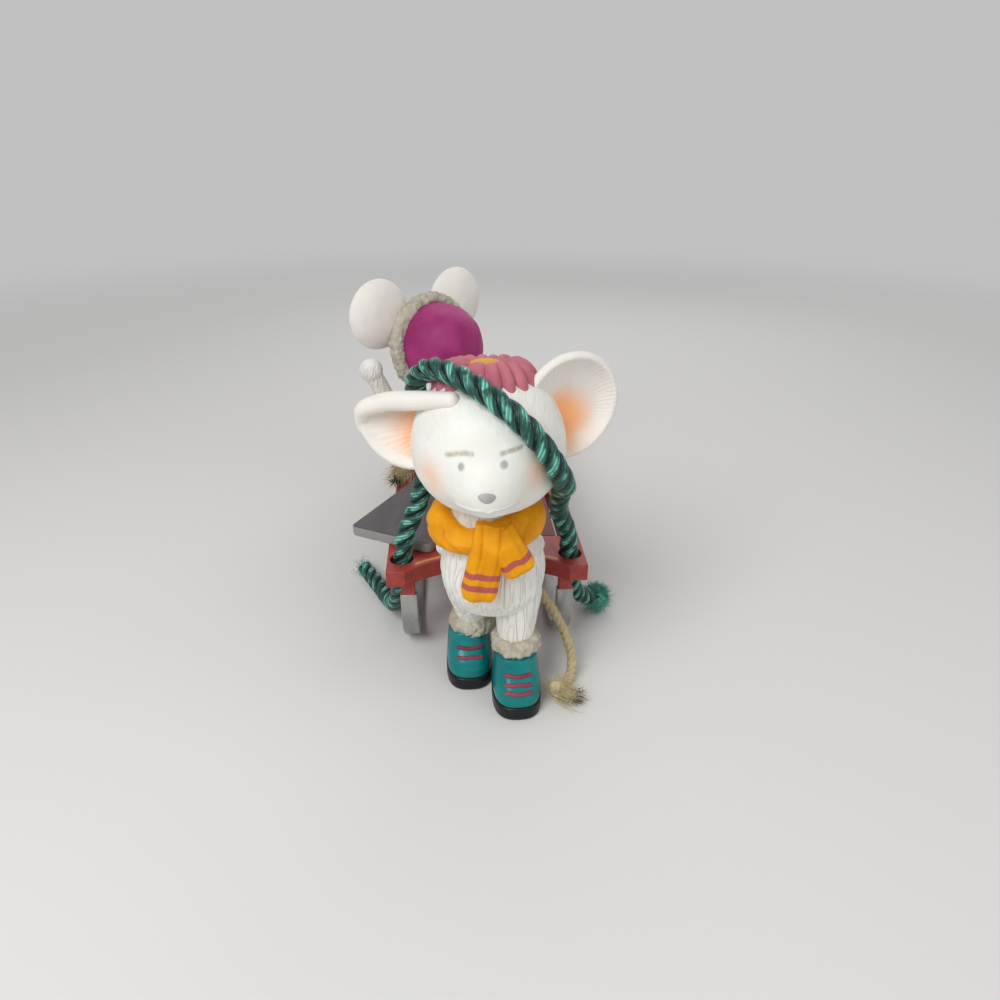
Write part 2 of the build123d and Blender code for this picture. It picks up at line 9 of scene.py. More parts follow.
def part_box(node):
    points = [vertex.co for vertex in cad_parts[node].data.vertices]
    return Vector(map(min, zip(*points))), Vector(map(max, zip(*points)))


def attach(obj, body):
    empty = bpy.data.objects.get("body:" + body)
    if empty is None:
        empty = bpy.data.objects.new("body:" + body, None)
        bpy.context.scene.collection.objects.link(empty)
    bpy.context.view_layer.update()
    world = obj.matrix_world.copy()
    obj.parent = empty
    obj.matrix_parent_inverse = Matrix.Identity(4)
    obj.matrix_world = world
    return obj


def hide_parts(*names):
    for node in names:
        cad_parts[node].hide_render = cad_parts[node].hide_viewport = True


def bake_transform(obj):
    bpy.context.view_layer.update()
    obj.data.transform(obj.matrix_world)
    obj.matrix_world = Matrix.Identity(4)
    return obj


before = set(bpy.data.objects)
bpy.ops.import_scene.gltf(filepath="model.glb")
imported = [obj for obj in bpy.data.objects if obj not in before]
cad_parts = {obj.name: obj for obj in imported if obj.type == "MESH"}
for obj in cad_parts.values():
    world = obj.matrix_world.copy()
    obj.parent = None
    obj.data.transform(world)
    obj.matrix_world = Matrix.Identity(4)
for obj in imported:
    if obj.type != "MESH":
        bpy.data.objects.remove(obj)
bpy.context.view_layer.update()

# Sizes are written in millimetres of the model before it was centred; mm() gives metres in the frame.
barLow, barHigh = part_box("sled_front_bar")
centring = Vector(((barLow.x + barHigh.x) / 2 - 0.0003, barLow.y - 0.0075, 0))


def mm(x, y, z):
    return Vector((x, y, z)) * 0.001 + centring


def tint(red, green, blue):
    return tuple(c / 12.92 if c <= 0.04045 else ((c + 0.055) / 1.055) ** 2.4
                 for c in (red / 255, green / 255, blue / 255)) + (1,)


def linked(name, data):
    obj = bpy.data.objects.new(name, data)
    bpy.context.collection.objects.link(obj)
    return obj


# The camera; the photo's middle and the camera's reach are in pixels of the photo

cameraView = {"place": (-5.35, -103.75, 88.0), "down": 26.2, "aside": -4.0, "lens": 27.04, "middle": 500,
              "reach": 751}
camera = linked("camera", bpy.data.cameras.new("camera"))
camera.data.lens = cameraView["lens"]
camera.data.clip_start = 0.005
camera.location = mm(*cameraView["place"])
camera.rotation_euler = (radians(90 - cameraView["down"]), 0, radians(cameraView["aside"]))
bpy.context.scene.camera = camera
cameraTurn = camera.rotation_euler.to_matrix()


# Direction from the camera through a point of the picture
def photoRay(u, v):
    middle, reach = cameraView["middle"], cameraView["reach"]
    return (cameraTurn @ Vector(((u - middle) / reach, (middle - v) / reach, -1))).normalized()


# Materials, with sums of shader values written as plain sums

class Wire:
    def __init__(self, sheet, out):
        self.sheet, self.out = sheet, out

    def sum(self, kind, first, second=0.0):
        return self.sheet.add("Math", {"operation": kind}, {0: first, 1: second})

    def __add__(self, other):
        return self.sum("ADD", self, other)

    __radd__ = __add__

    def __sub__(self, other):
        return self.sum("SUBTRACT", self, other)

    def __rsub__(self, other):
        return self.sum("SUBTRACT", other, self)

    def __mul__(self, other):
        return self.sum("MULTIPLY", self, other)

    __rmul__ = __mul__

    def __pow__(self, other):
        return self.sum("POWER", self, other)

    def wave(self):
        return self.sum("SINE", self)

    def size(self):
        return self.sum("ABSOLUTE", self)

    def step(self, low, high):
        return self.sheet.add("MapRange", {"interpolation_type": "SMOOTHSTEP"},
                              {0: self, 1: low, 2: high, 3: 0.0, 4: 1.0})


class Sheet:
    def __init__(self, tree):
        self.tree = tree

    def plug(self, socket, value):
        if isinstance(value, Wire):
            self.tree.links.new(value.out, socket)
        else:
            socket.default_value = value

    def add(self, kind, settings=None, inputs=None, out=0):
        node = self.tree.nodes.new("ShaderNode" + kind)
        for key, value in (settings or {}).items():
            setattr(node, key, value)
        for key, value in (inputs or {}).items():
            self.plug(node.inputs[key], value)
        return Wire(self, node.outputs[out])


class Finish(Sheet):
    def __init__(self, name, colour, **sockets):
        self.material = bpy.data.materials.new(name)
        self.material.use_nodes = True
        super().__init__(self.material.node_tree)
        self.shader = next(n for n in self.tree.nodes if n.type == "BSDF_PRINCIPLED")
        self.material.diffuse_color = tint(*colour)
        self.set("Base Color", tint(*colour))
        for key, value in sockets.items():
            self.set(key.replace("_", " "), value)
        self.spot = self.add("TexCoord", out="Object")

    def set(self, key, value):
        self.plug(self.shader.inputs[key], value)

    # Colours are triples of 0 to 255, or wires
    def mix(self, share, low, high):
        low, high = [tint(*c) if isinstance(c, tuple) else c for c in (low, high)]
        return self.add("Mix", {"data_type": "RGBA"}, {0: share, 6: low, 7: high}, 2)

    def grain(self, scale, detail=3.0, rough=0.55, stretch=(1, 1, 1)):
        place = self.add("Mapping", None, {"Vector": self.spot, "Scale": stretch})
        return self.add("TexNoise", None, {"Vector": place, "Scale": scale, "Detail": detail, "Roughness": rough})

    def done(self, colour, roughness, height, depth):
        bump = self.add("Bump", None, {"Height": height, "Distance": depth})
        for key, value in (("Base Color", colour), ("Roughness", roughness), ("Normal", bump)):
            self.set(key, value)
        return self.material

    def split(self, vector):
        return [Wire(self, out) for out in self.add("SeparateXYZ", None, {0: vector}).out.node.outputs]

    def marks(self, name):
        return self.split(self.add("Attribute", {"attribute_name": name}, out="Vector"))


def whiteFinish(name):
    skin = Finish(name, (233, 232, 226))
    wander = skin.grain(1050, 1, 0.5, (1, 1, 0.1))
    steep = skin.marks("steep")[0]
    line = steep * (1 - (wander - 0.5).size().step(0.0, 0.075))
    patches = skin.grain(160, 2)
    colour = skin.mix(patches.step(0.35, 0.7), (236, 236, 231), (228, 225, 216))
    # Painted shade: the colour darkens along the fur grooves, where the bump dips as well.
    colour = skin.mix(line * 0.42, colour, (206, 203, 194))
    return skin.done(colour, 0.52 + 0.2 * patches, 0.3 * skin.grain(4200, 2) - line, 0.0001)


def faceFinish(name):
    skin = Finish(name, (236, 236, 230))
    eyes, blush, brows = skin.marks("paint")
    fur, crease = skin.marks("strokes")[:2]
    patches = skin.grain(150, 2)
    colour = skin.mix(patches.step(0.3, 0.7), (239, 240, 235), (232, 230, 222))
    wander = skin.grain(1300, 1, 0.5, (1, 0.14, 0.4))
    line = fur * (1 - (wander - 0.5).size().step(0.0, 0.08))
    streaks = skin.grain(1500, 3, 0.6, (1, 0.25, 1))
    # Painted shade: the colour darkens a little along the fur grooves, where the bump dips as well.
    colour = skin.mix(line * 0.14, colour, (214, 211, 203))
    colour = skin.mix(blush * (0.5 + 0.6 * streaks), colour, (247, 200, 166))
    colour = skin.mix(brows * (0.4 + 0.4 * streaks.step(0.3, 0.6)), colour, (170, 160, 136))
    colour = skin.mix(crease, colour, (200, 190, 178))
    colour = skin.mix(eyes * (0.75 + 0.3 * streaks), colour, (168, 167, 166))
    return skin.done(colour, 0.58 - 0.2 * eyes, 0.3 * skin.grain(2600, 2) - line, 0.00003)


def earFinish(name):
    skin = Finish(name, (234, 226, 214))
    warmth, groove, back = skin.marks("paint")
    colour = skin.mix(warmth.step(0.0, 0.85), (236, 232, 225), (252, 174, 116))
    colour = skin.mix(groove * (0.15 + 0.35 * warmth), colour, (240, 226, 212))
    colour = skin.mix(back * skin.grain(300, 2).step(0.4, 0.65) * 0.3, colour, (226, 222, 214))
    return skin.done(colour, 0.55 + 0.15 * skin.grain(500), skin.grain(1600, 3), 0.00004)


def paintFinish(name, colour, shade, roughness, depth=0.00008, scale=700, coat=0.0):
    paint = Finish(name, colour, Coat_Weight=coat, Specular_IOR_Level=0.25)
    cloud = paint.grain(scale / 4, 3)
    speck = paint.grain(scale * 3, 3, 0.6)
    tone = paint.mix(cloud.step(0.3, 0.72), colour, shade)
    tone = paint.mix(speck.step(0.62, 0.8) * 0.3, tone, tuple(min(255, c + 26) for c in colour))
    return paint.done(tone, roughness - 0.08 + 0.2 * cloud, cloud * 0.6 + speck * 0.35, depth)


def woodFinish(name, colour, shade, roughness):
    paint = Finish(name, colour)
    lines = paint.grain(1300, 4, 0.6, (1, 0.06, 1))
    cloud = paint.grain(160, 2)
    tone = paint.mix(lines.step(0.35, 0.68), shade, colour)
    tone = paint.mix(cloud.step(0.45, 0.75) * 0.35, tone, tuple(c * 0.72 for c in colour))
    return paint.done(tone, roughness - 0.05 + 0.2 * lines, lines, 0.00009)


def satinFinish(name, dark, middle, light, crestHighlight):
    yarn = Finish(name, middle)
    lobe, crest, along = yarn.marks("lay")
    thread = (lobe * 26 + along * 2300).wave()
    fine = yarn.grain(1900, 3, 0.6)
    patch = yarn.grain(420, 2)
    # Painted shade: the lobes darken from the middle colour to the dark one towards the grooves between them.
    tone = yarn.mix(crest.step(0.1, 0.75), dark, middle)
    tone = yarn.mix(thread.step(0.1, 1.0) * fine.step(0.35, 0.7) * 0.7, tone, light)
    # Painted highlights: bright patches of the highlight colour on the lobes' crests stand in for the satin's sheen.
    highlightShare = crest.step(0.6, 0.98) * patch.step(0.43, 0.6) * (0.35 + 0.65 * thread.step(-0.2, 0.8))
    return yarn.done(yarn.mix(highlightShare, tone, crestHighlight), 0.38 - 0.14 * highlightShare, thread * 0.5 + fine, 0.00009)


def cottonFinish(name):
    yarn = Finish(name, (222, 204, 158))
    across, around, along = yarn.marks("lay")
    angle = yarn.add("Math", {"operation": "ARCTAN2"}, {0: around, 1: across})
    thread = (angle * 6 + along * 5200).wave()
    fine = yarn.grain(2600, 3, 0.6)
    tone = yarn.mix(fine.step(0.35, 0.7) * 0.75, (214, 192, 142), (236, 220, 178))
    tone = yarn.mix(yarn.grain(520, 2).step(0.62, 0.72) * 0.55, tone, (120, 100, 70))
    tone = yarn.mix(thread.step(0.35, 1.0) * 0.35, tone, (236, 226, 194))
    return yarn.done(tone, 0.8 + 0.15 * fine, thread * 0.5 + fine, 0.00012)


# The first colour is the painted shade in the rope's grooves and the last one the painted highlight on its crests.
ropeSkin = satinFinish("greenSatin", (3, 28, 25), (10, 72, 64), (26, 106, 92), (130, 222, 200))
fibreSkin = paintFinish("greenFibre", (66, 146, 128), (126, 196, 178), 0.45)
cottonSkin = cottonFinish("creamCotton")
fluffSkin = paintFinish("creamFluff", (216, 202, 164), (186, 168, 126), 0.9)
darkFluffSkin = paintFinish("darkFluff", (70, 62, 50), (44, 40, 36), 0.9)
print("materials for the cords are ready")


# Making pieces

def meshOf(shape, name):
    mesh = bpy.data.meshes.new(name)
    shape.to_mesh(mesh)
    shape.free()
    return mesh


# Mesh of an object with its modifiers or bevel applied; the object goes
def frozen(obj):
    mesh = bpy.data.meshes.new_from_object(obj.evaluated_get(bpy.context.evaluated_depsgraph_get()))
    bpy.data.objects.remove(obj)
    return mesh


# Marks are triples on the corners, which the finish reads by name
def settle(shape, name, body, finish, slotName, *nodes, **marks):
    mesh = shape if isinstance(shape, bpy.types.Mesh) else meshOf(shape, name)
    for key, values in marks.items():
        layer = mesh.attributes.new(key, "FLOAT_VECTOR", "POINT")
        layer.data.foreach_set("vector", [c for value in values for c in value])
    mesh.name = name
    mesh.shade_smooth()
    obj = linked(name, mesh)
    mesh.materials.clear()
    mesh.materials.append(finish)
    if body:
        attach(obj, body)
    if nodes:
        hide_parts(*nodes)
    return obj


# A piece that stands for one node bears its name
def standIn(shape, node, body, finish, slotName, **marks):
    first, *rest = node.split("_")
    return settle(shape, first + "".join(w.capitalize() for w in rest), body, finish, slotName, node, **marks)


# Smooth line through the points, with share steps between two of them
def flowing(points, share):
    points = [Vector(p) for p in points]
    ends = [2 * points[0] - points[1]] + points + [2 * points[-1] - points[-2]]
    line = []
    for a, b, c, d in zip(ends, ends[1:], ends[2:], ends[3:]):
        for k in range(share):
            t = k / share
            line.append(0.5 * (2 * b + (c - a) * t + (2 * a - 5 * b + 4 * c - d) * t ** 2 +
                               (3 * b - a - 3 * c + d) * t ** 3))
    return line + [points[-1]]


mergeReach = 2e-6


# Full turn of a section round the upright axis
def turned(bm, geom, steps):
    bmesh.ops.spin(bm, geom=geom, cent=(0, 0, 0), axis=(0, 0, 1), angle=2 * pi, steps=steps, use_merge=True)
    bmesh.ops.remove_doubles(bm, verts=bm.verts, dist=mergeReach)
    bmesh.ops.recalc_face_normals(bm, faces=bm.faces)
    return bm


def spun(profile, steps, share):
    bm = bmesh.new()
    line = flowing([(r * 0.001, 0, z * 0.001) for r, z in profile], share)
    verts = [bm.verts.new((max(0, p.x), 0, p.z)) for p in line]
    edges = [bm.edges.new(pair) for pair in zip(verts, verts[1:])]
    return turned(bm, verts + edges, steps)


def ring(ringRadius, bandWide, bandTall, steps, sides):
    bm = bmesh.new()
    hoop = bmesh.ops.create_circle(bm, segments=sides, radius=0.001)["verts"]
    for vert in hoop:
        vert.co = Vector((ringRadius * 0.001 + vert.co.x * bandWide, 0, vert.co.y * bandTall))
    return turned(bm, hoop + list(bm.edges), steps)


def turnBy(axis, angle):
    return Matrix.Rotation(radians(angle), 4, axis)


def place(x, y, z, *turns):
    matrix = Matrix.Translation(mm(x, y, z))
    for turn in turns:
        matrix = matrix @ turnBy(*turn)
    return matrix


def shifted(x, y, z):
    return Matrix.Translation(Vector((x, y, z)) * 0.001)


# Corners of a shape with their places in millimetres
def corners(bm, scale=1.0):
    for vert in bm.verts:
        yield vert, *[c * 1000 / scale for c in vert.co]


def rough(point, scale):
    return noise.noise(Vector(point) * scale)


# Each corner moves along its normal, in millimetres
def pushed(bm, moves):
    for vert, move in zip(bm.verts, moves):
        vert.co += vert.normal * move * 0.001


def lumps(bm, size, depth, seed=0.0):
    moves = []
    for vert in bm.verts:
        cell = noise.voronoi(vert.co * size + Vector((seed, seed, 0)))[0]
        moves.append(depth * (0.55 - min(1.0, cell[0] * 1.5)) + depth * 0.3 * rough(vert.co, size * 3))
    bm.normal_update()
    pushed(bm, moves)


# 0 below low, 1 above high and a soft step between them
def ease(value, low, high):
    share = min(1.0, max(0.0, (value - low) / (high - low)))
    return share * share * (3 - 2 * share)


def joined(shapes):
    whole = bmesh.new()
    for shape in shapes:
        part = meshOf(shape, "part")
        whole.from_mesh(part)
        bpy.data.meshes.remove(part)
    return whole


# One skin over overlapping shapes
def welded(shapes, voxel, smoothing):
    obj = linked("weld", meshOf(joined(shapes), "weld"))
    remesh = obj.modifiers.new("remesh", "REMESH")
    remesh.mode = "VOXEL"
    remesh.voxel_size = voxel * 0.001
    calm = obj.modifiers.new("calm", "SMOOTH")
    calm.iterations = smoothing
    calm.factor = 0.5
    result = frozen(obj)
    bm = bmesh.new()
    bm.from_mesh(result)
    bpy.data.meshes.remove(result)
    return bm


# Bar with round ends, wide at its start and narrow at its end
def roundBar(start, end, wide, narrow=None):
    narrow = wide if narrow is None else narrow
    start, end = Vector(start), Vector(end)
    length = (end - start).length
    rounds = [(sin(a) * wide, -cos(a) * wide) for a in (0, 0.5, 1.05)]
    rounds += [(wide, 0), ((wide + narrow) / 2, length / 2), (narrow, length)]
    rounds += [(cos(a) * narrow, length + sin(a) * narrow) for a in (0.5, 1.05, pi / 2)]
    bm = spun(rounds, 24, 3)
    turn = (end - start).to_track_quat("Z", "Y").to_matrix().to_4x4()
    bm.transform(Matrix.Translation(start * 0.001) @ turn)
    return bm


def ball(centre, radius, squeeze=(1, 1, 1), detail=32):
    bm = bmesh.new()
    bmesh.ops.create_uvsphere(bm, u_segments=detail, v_segments=detail // 2, radius=radius * 0.001)
    bm.transform(Matrix.Translation(Vector(centre) * 0.001) @ Matrix.Diagonal((*squeeze, 1)))
    return bm


# Cords: strands laid round the line of each route

ropeRoute = [(-25.0, 39.4, 1.75), (-21.2, 31.8, 1.75), (-18.8, 25.2, 2.6), (-17.2, 19.6, 5.2), (-16.2, 15.4, 9.4),
             (-15.19, 12.605, 14.42), (-14.5, 11.8, 20.4), (-13.9, 11.1, 25.6), (-11.4, 11.1, 30.2),
             (-10.4, 10.6, 34.6), (-9.25, 10.025, 39.66), (-9.4, 10.4, 45.2), (-10.4, 8.8, 50.6), (-10.6, 4.6, 55.0),
             (-7.6, -0.8, 58.6), (-2.4, -7.4, 58.0), (3.2, -11.2, 54.6), (7.5, -11.6, 49.6), (9.9, -9.6, 44.6),
             (11.2, -5.4, 41.0), (11.67, 0.69, 38.885), (11.9, 4.6, 34.4), (12.1, 8.0, 30.5), (14.5, 11.1, 25.6),
             (15.1, 11.8, 20.4), (15.79, 12.605, 14.42), (17.1, 15.6, 9.6), (19.6, 19.2, 5.8), (22.8, 22.6, 3.2)]
mouseTailRoute = [(3.4, 5.4, 21.6), (5.6, 8.0, 19.4), (8.8, 8.3, 15.8), (11.5, 7.3, 11.8), (13.8, 5.7, 7.8),
                  (15.0, 3.6, 4.0), (14.8, 0.7, 1.3), (12.4, -1.9, 0.9)]
riderTailRoute = [(-3.4, 72.2, 24.4), (-5.0, 67.4, 22.2), (-7.6, 62.6, 21.0), (-11.6, 59.0, 20.75),
                  (-15.0, 54.0, 20.75), (-16.0, 48.4, 20.75)]


def tubeCurve(name, thick=0.0, roundness=0):
    curve = bpy.data.curves.new(name, "CURVE")
    curve.dimensions = "3D"
    curve.bevel_depth = thick * 0.001
    curve.bevel_resolution = roundness
    curve.use_fill_caps = True
    return curve


def through(curve, spots, kind="POLY"):
    spline = curve.splines.new(kind)
    spline.points.add(len(spots) - 1)
    for point, spot in zip(spline.points, spots):
        point.co = (*spot, 1)
    return spline


def cordLine(route, name):
    curve = tubeCurve(name)
    spline = through(curve, [mm(*spot) for spot in route], "NURBS")
    spline.order_u = 3
    spline.use_endpoint_u = True
    spline.resolution_u = 10
    return [v.co.copy() for v in frozen(linked(name, curve)).vertices]


# Points on the line, a gap apart
def evenly(line, gap):
    even, left = [line[0]], gap
    for a, b in zip(line, line[1:]):
        run = (b - a).length
        done = 0.0
        while run - done >= left:
            done += left
            even.append(a.lerp(b, done / run))
            left = gap
        left -= run - done
    return even


def crossFrames(line):
    frames, side = [], Vector((0.3, 0.2, 1))
    for k, point in enumerate(line):
        along = (line[min(k + 1, len(line) - 1)] - line[max(k - 1, 0)]).normalized()
        side = (side - along * side.dot(along)).normalized()
        frames.append((point, along, side, along.cross(side)))
    return frames


# Twisted strands round the line
def strandMesh(line, count, strand, lay, pitch, name, wobble):
    gap, sides = 0.00035, 8
    frames = crossFrames(evenly(line, gap))
    curve = tubeCurve(name, strand, 3)
    for index in range(count):
        spots = []
        for k, (point, along, side, up) in enumerate(frames):
            angle = 2 * pi * (index / count + k * gap * 1000 / pitch)
            out = lay * (1 + wobble * rough(point + Vector((index, 0, 0)), 700))
            spots.append(point + (side * cos(angle) + up * sin(angle)) * out * 0.001)
        for spot, (point, *rest) in zip(through(curve, spots).points, frames):
            spot.radius = 1 + wobble * rough(point + Vector((0, index, 0)), 500)
    mesh = frozen(linked(name, curve))
    lays = []
    for vert in mesh.vertices:
        turn = 2 * pi * (vert.index % sides) / sides
        lays.append((cos(turn), sin(turn), (vert.index // sides) * gap))
    return mesh, lays


# Rope whose section of a few lobes turns along the line
def lobedMesh(line, radius, lobes, depth, pitch, name):
    gap, sides = 0.0003, 48
    points = evenly(line, gap)
    outline = []
    for k in range(sides):
        angle = 2 * pi * k / sides
        out = radius * 0.001 * (1 - depth * (1 - abs(cos(lobes * angle / 2)) ** 0.75))
        outline.append((out * cos(angle), out * sin(angle), 0))
    section = linked(name + "Section", bpy.data.curves.new(name + "Section", "CURVE"))
    through(section.data, outline).use_cyclic_u = True
    curve = tubeCurve(name)
    curve.bevel_mode = "OBJECT"
    curve.bevel_object = section
    for k, (spot, point) in enumerate(zip(through(curve, points).points, points)):
        spot.tilt = 2 * pi * k * gap * 1000 / pitch
        spot.radius = 1 + 0.05 * rough(point, 260)
    mesh = frozen(linked(name, curve))
    bpy.data.objects.remove(section)
    lays = []
    for vert in mesh.vertices:
        share = (vert.index % sides) / sides * lobes
        lays.append(((share + 0.5) % 1, abs(cos(pi * share)), vert.index // sides * gap))
    return mesh, lays


fibreFloor = 0.0002


# Thin tapered fibres as one piece
def fibres(places, thick, name, body, finish, slotName):
    curve = tubeCurve(name, thick)
    for spots in places:
        for k, point in enumerate(through(curve, spots).points):
            point.radius = 1 - 0.75 * k / (len(spots) - 1)
    return settle(frozen(linked(name, curve)), name, body, finish, slotName)


def drift(chance):
    return Vector([chance.gauss(0, 1) for k in range(3)])


def above(spots, floor):
    for spot in spots:
        spot.z = max(spot.z, floor)
    return spots


# Fibres that leave one spot along a way
def brush(root, way, count, length, spread, thickness, seed, floor=fibreFloor, steps=4):
    chance = random.Random(seed)
    places = []
    way = Vector(way).normalized()
    for index in range(count):
        start = root + drift(chance) * thickness * 0.0004
        lean = (way + drift(chance) * spread).normalized()
        bend = drift(chance) * spread * 0.5
        reach = length * 0.001 * chance.uniform(0.55, 1.05)
        places.append(above([start + (lean + bend * k / steps).normalized() * reach * k / steps
                             for k in range(steps + 1)], floor))
    return places


# Fibres that stand off a line
def fuzz(line, radius, count, length, seed, floor):
    chance = random.Random(seed)
    frames = crossFrames(line)
    places = []
    for index in range(count):
        point, along, side, up = chance.choice(frames)
        angle = chance.uniform(0, 2 * pi)
        out = side * cos(angle) + up * sin(angle)
        lean = (out * 0.8 + along * chance.uniform(-1, 1) + side * chance.uniform(-0.5, 0.5)).normalized()
        start = point + out * radius * 0.0008
        reach = length * 0.001 * chance.uniform(0.4, 1.0)
        places.append(above([start + lean * reach * k / 2 + along * reach * 0.15 * k * k for k in range(3)], floor))
    return places


def lengthOf(line):
    return sum((b - a).length for a, b in zip(line, line[1:]))


ropeForm = {"radius": 1.66, "lobes": 3, "deep": 0.3, "pitch": 9.3, "leftFray": 150, "rightFray": 900}
ropeLine = cordLine(ropeRoute, "ropeLine")
ropeLength = lengthOf(ropeLine)
mesh, lays = lobedMesh(ropeLine, ropeForm["radius"], ropeForm["lobes"], ropeForm["deep"], ropeForm["pitch"], "pullRope")
rope = settle(mesh, "pullRope", None, ropeSkin, "green_cord", "rope_over_head", "rope_left_drop", "rope_right_drop",
              "rope_left_end", "rope_right_end", lay=lays)
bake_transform(rope)
leftTip, leftWay = ropeLine[0], ropeLine[0] - ropeLine[3]
frayed = brush(leftTip, leftWay, ropeForm["leftFray"], length=1.9, spread=0.22, thickness=2.4, seed=5)
leftFray = fibres(frayed, 0.07, "ropeLeftFray", "sled", fibreSkin, "green_cord")
puffForm = {"radius": 2.25, "root": 0.0017, "length": 0.0013, "bend": 0.00045, "steps": 4}
puffCentre = ropeLine[-1] + (ropeLine[-1] - ropeLine[-4]).normalized() * 0.0001
puffFuzz = []
chance = random.Random(6)
for index in range(ropeForm["rightFray"]):
    way = drift(chance).normalized()
    bend = drift(chance) * puffForm["bend"]
    start, steps = puffCentre + way * puffForm["root"], puffForm["steps"]
    puffFuzz.append(above([start + way * puffForm["length"] * k / steps * chance.uniform(0.9, 1.0) +
                           bend * (k / steps) ** 2 for k in range(steps + 1)], fibreFloor))
rightFray = fibres(puffFuzz, 0.1, "ropeRightFray", "sled", fibreSkin, "green_cord")
puff = ball((0, 0, 0), puffForm["radius"], (1, 1, 0.95), 40)
lumps(puff, 900, 0.35, 2.0)
puff.transform(Matrix.Translation(puffCentre))
puffPiece = settle(puff, "ropePuff", "sled", fibreSkin, "green_cord")
print("rope is made,", round(ropeLength * 1000, 1), "mm")

tailForm = {"diameter": 1.5, "strand": 0.5, "lay": 0.36, "pitch": 3.8, "wobble": 0.25, "fuzz": 420, "hair": 0.035,
            "tuftHair": 0.045, "knot": 1.5, "loops": ((20, 1.0), (75, 0.92), (130, 0.86))}


def cottonTail(word, body, route, way, tuftLength, ground, seed):
    line = cordLine(route, word + "TailLine")
    mesh, lays = strandMesh(line, 3, tailForm["strand"], tailForm["lay"], tailForm["pitch"], word + "Tail",
                            tailForm["wobble"])
    cord = settle(mesh, word + "Tail", body, cottonSkin, "cream_cord", word + "_tail_cord", lay=lays)
    floor = mm(0, 0, ground + 0.12).z
    fluff = fibres(fuzz(line[12:], tailForm["diameter"] / 2, tailForm["fuzz"], 1.2, seed, floor), tailForm["hair"],
                   word + "TailFluff", body, fluffSkin, "cream_cord")
    onward = (line[-1] - line[-3]).normalized()
    centre = line[-1] + onward * tailForm["knot"] * 0.0008
    centre.z = mm(0, 0, ground + tailForm["knot"]).z
    way = Vector(way)
    loops = []
    for tilt, size in tailForm["loops"]:
        loop = ring(1.05 * size, 0.62, 0.62, 36, 14)
        loop.transform(turnBy("X", tilt) @ turnBy("Y", tilt * 2))
        loops.append(loop)
    loops.append(roundBar((0, 0, 0), way.normalized() * tuftLength * 0.72, 1.15, 0.75))
    knot = joined(loops)
    lumps(knot, 1500, 0.22)
    knot.transform(Matrix.Translation(centre))
    knotPiece = settle(knot, word + "TailKnot", body, fluffSkin, "cream_cord", word + "_tail_tassel")
    stem = [centre + Vector((0, 0, k * 0.0002)) for k in range(3)]
    tuftPlaces = brush(centre, way, 320, tuftLength, spread=0.2, thickness=2.2, seed=seed + 1, floor=floor)
    tuftPlaces += fuzz(stem, radius=1.5, count=260, length=1.5, seed=seed + 2, floor=floor)
    tuft = fibres(tuftPlaces, tailForm["tuftHair"], word + "TailTuft", body, fluffSkin, "cream_cord")
    darkRoot = centre + way.normalized() * tuftLength * 0.0008
    darkPlaces = brush(darkRoot, way, 90, tuftLength * 0.4, spread=0.35, thickness=1.5, seed=seed + 3, floor=floor)
    dark = fibres(darkPlaces, tailForm["tuftHair"], word + "TailDarkTip", body, darkFluffSkin, "cream_cord")
    length = lengthOf(line)
    print(word, "tail is made,", round(length * 1000, 1), "mm")


cottonTail("mouse", "mouse", mouseTailRoute, (0.9, -0.6, 0.0), tuftLength=4.2, ground=0.0, seed=20)
cottonTail("rider", "sled", riderTailRoute, (-0.25, -1.0, 0.0), tuftLength=6.0, ground=19.95, seed=40)


# Both mice have a head of the same form

headProfile = [(0, -0.42), (0.3, -0.408), (0.62, -0.365), (0.86, -0.26), (0.97, -0.14), (1.0, -0.03), (0.985, 0.07),
               (0.9, 0.185), (0.76, 0.29), (0.6, 0.375), (0.48, 0.44), (0.36, 0.505), (0.24, 0.55), (0.12, 0.575),
               (0, 0.58)]
faceForm = {"brows": [[(446, 455), (456, 453.2), (464, 453), (472, 454)], [(502, 453.5), (511, 450.5), (522, 447)]],
            "eyes": [(461.5, 467), (503.5, 465)], "blush": [(431, 478), (539, 471)],
            "mouth": [(456, 503), (470, 509.5), (482, 511), (487.5, 513.5), (493, 511), (504, 508.5), (518, 502)],
            "eyeEdge": (0.5 * 0.7, 0.5 * 1.5)}


# Distance from a spot to a line of points in a plane
def nearLine(spot, line):
    best = 1e9
    for (ax, ay), (bx, by) in zip(line, line[1:]):
        run = (bx - ax) ** 2 + (by - ay) ** 2
        t = min(1.0, max(0.0, ((spot[0] - ax) * (bx - ax) + (spot[1] - ay) * (by - ay)) / run))
        best = min(best, hypot(spot[0] - ax - t * (bx - ax), spot[1] - ay - t * (by - ay)))
    return best


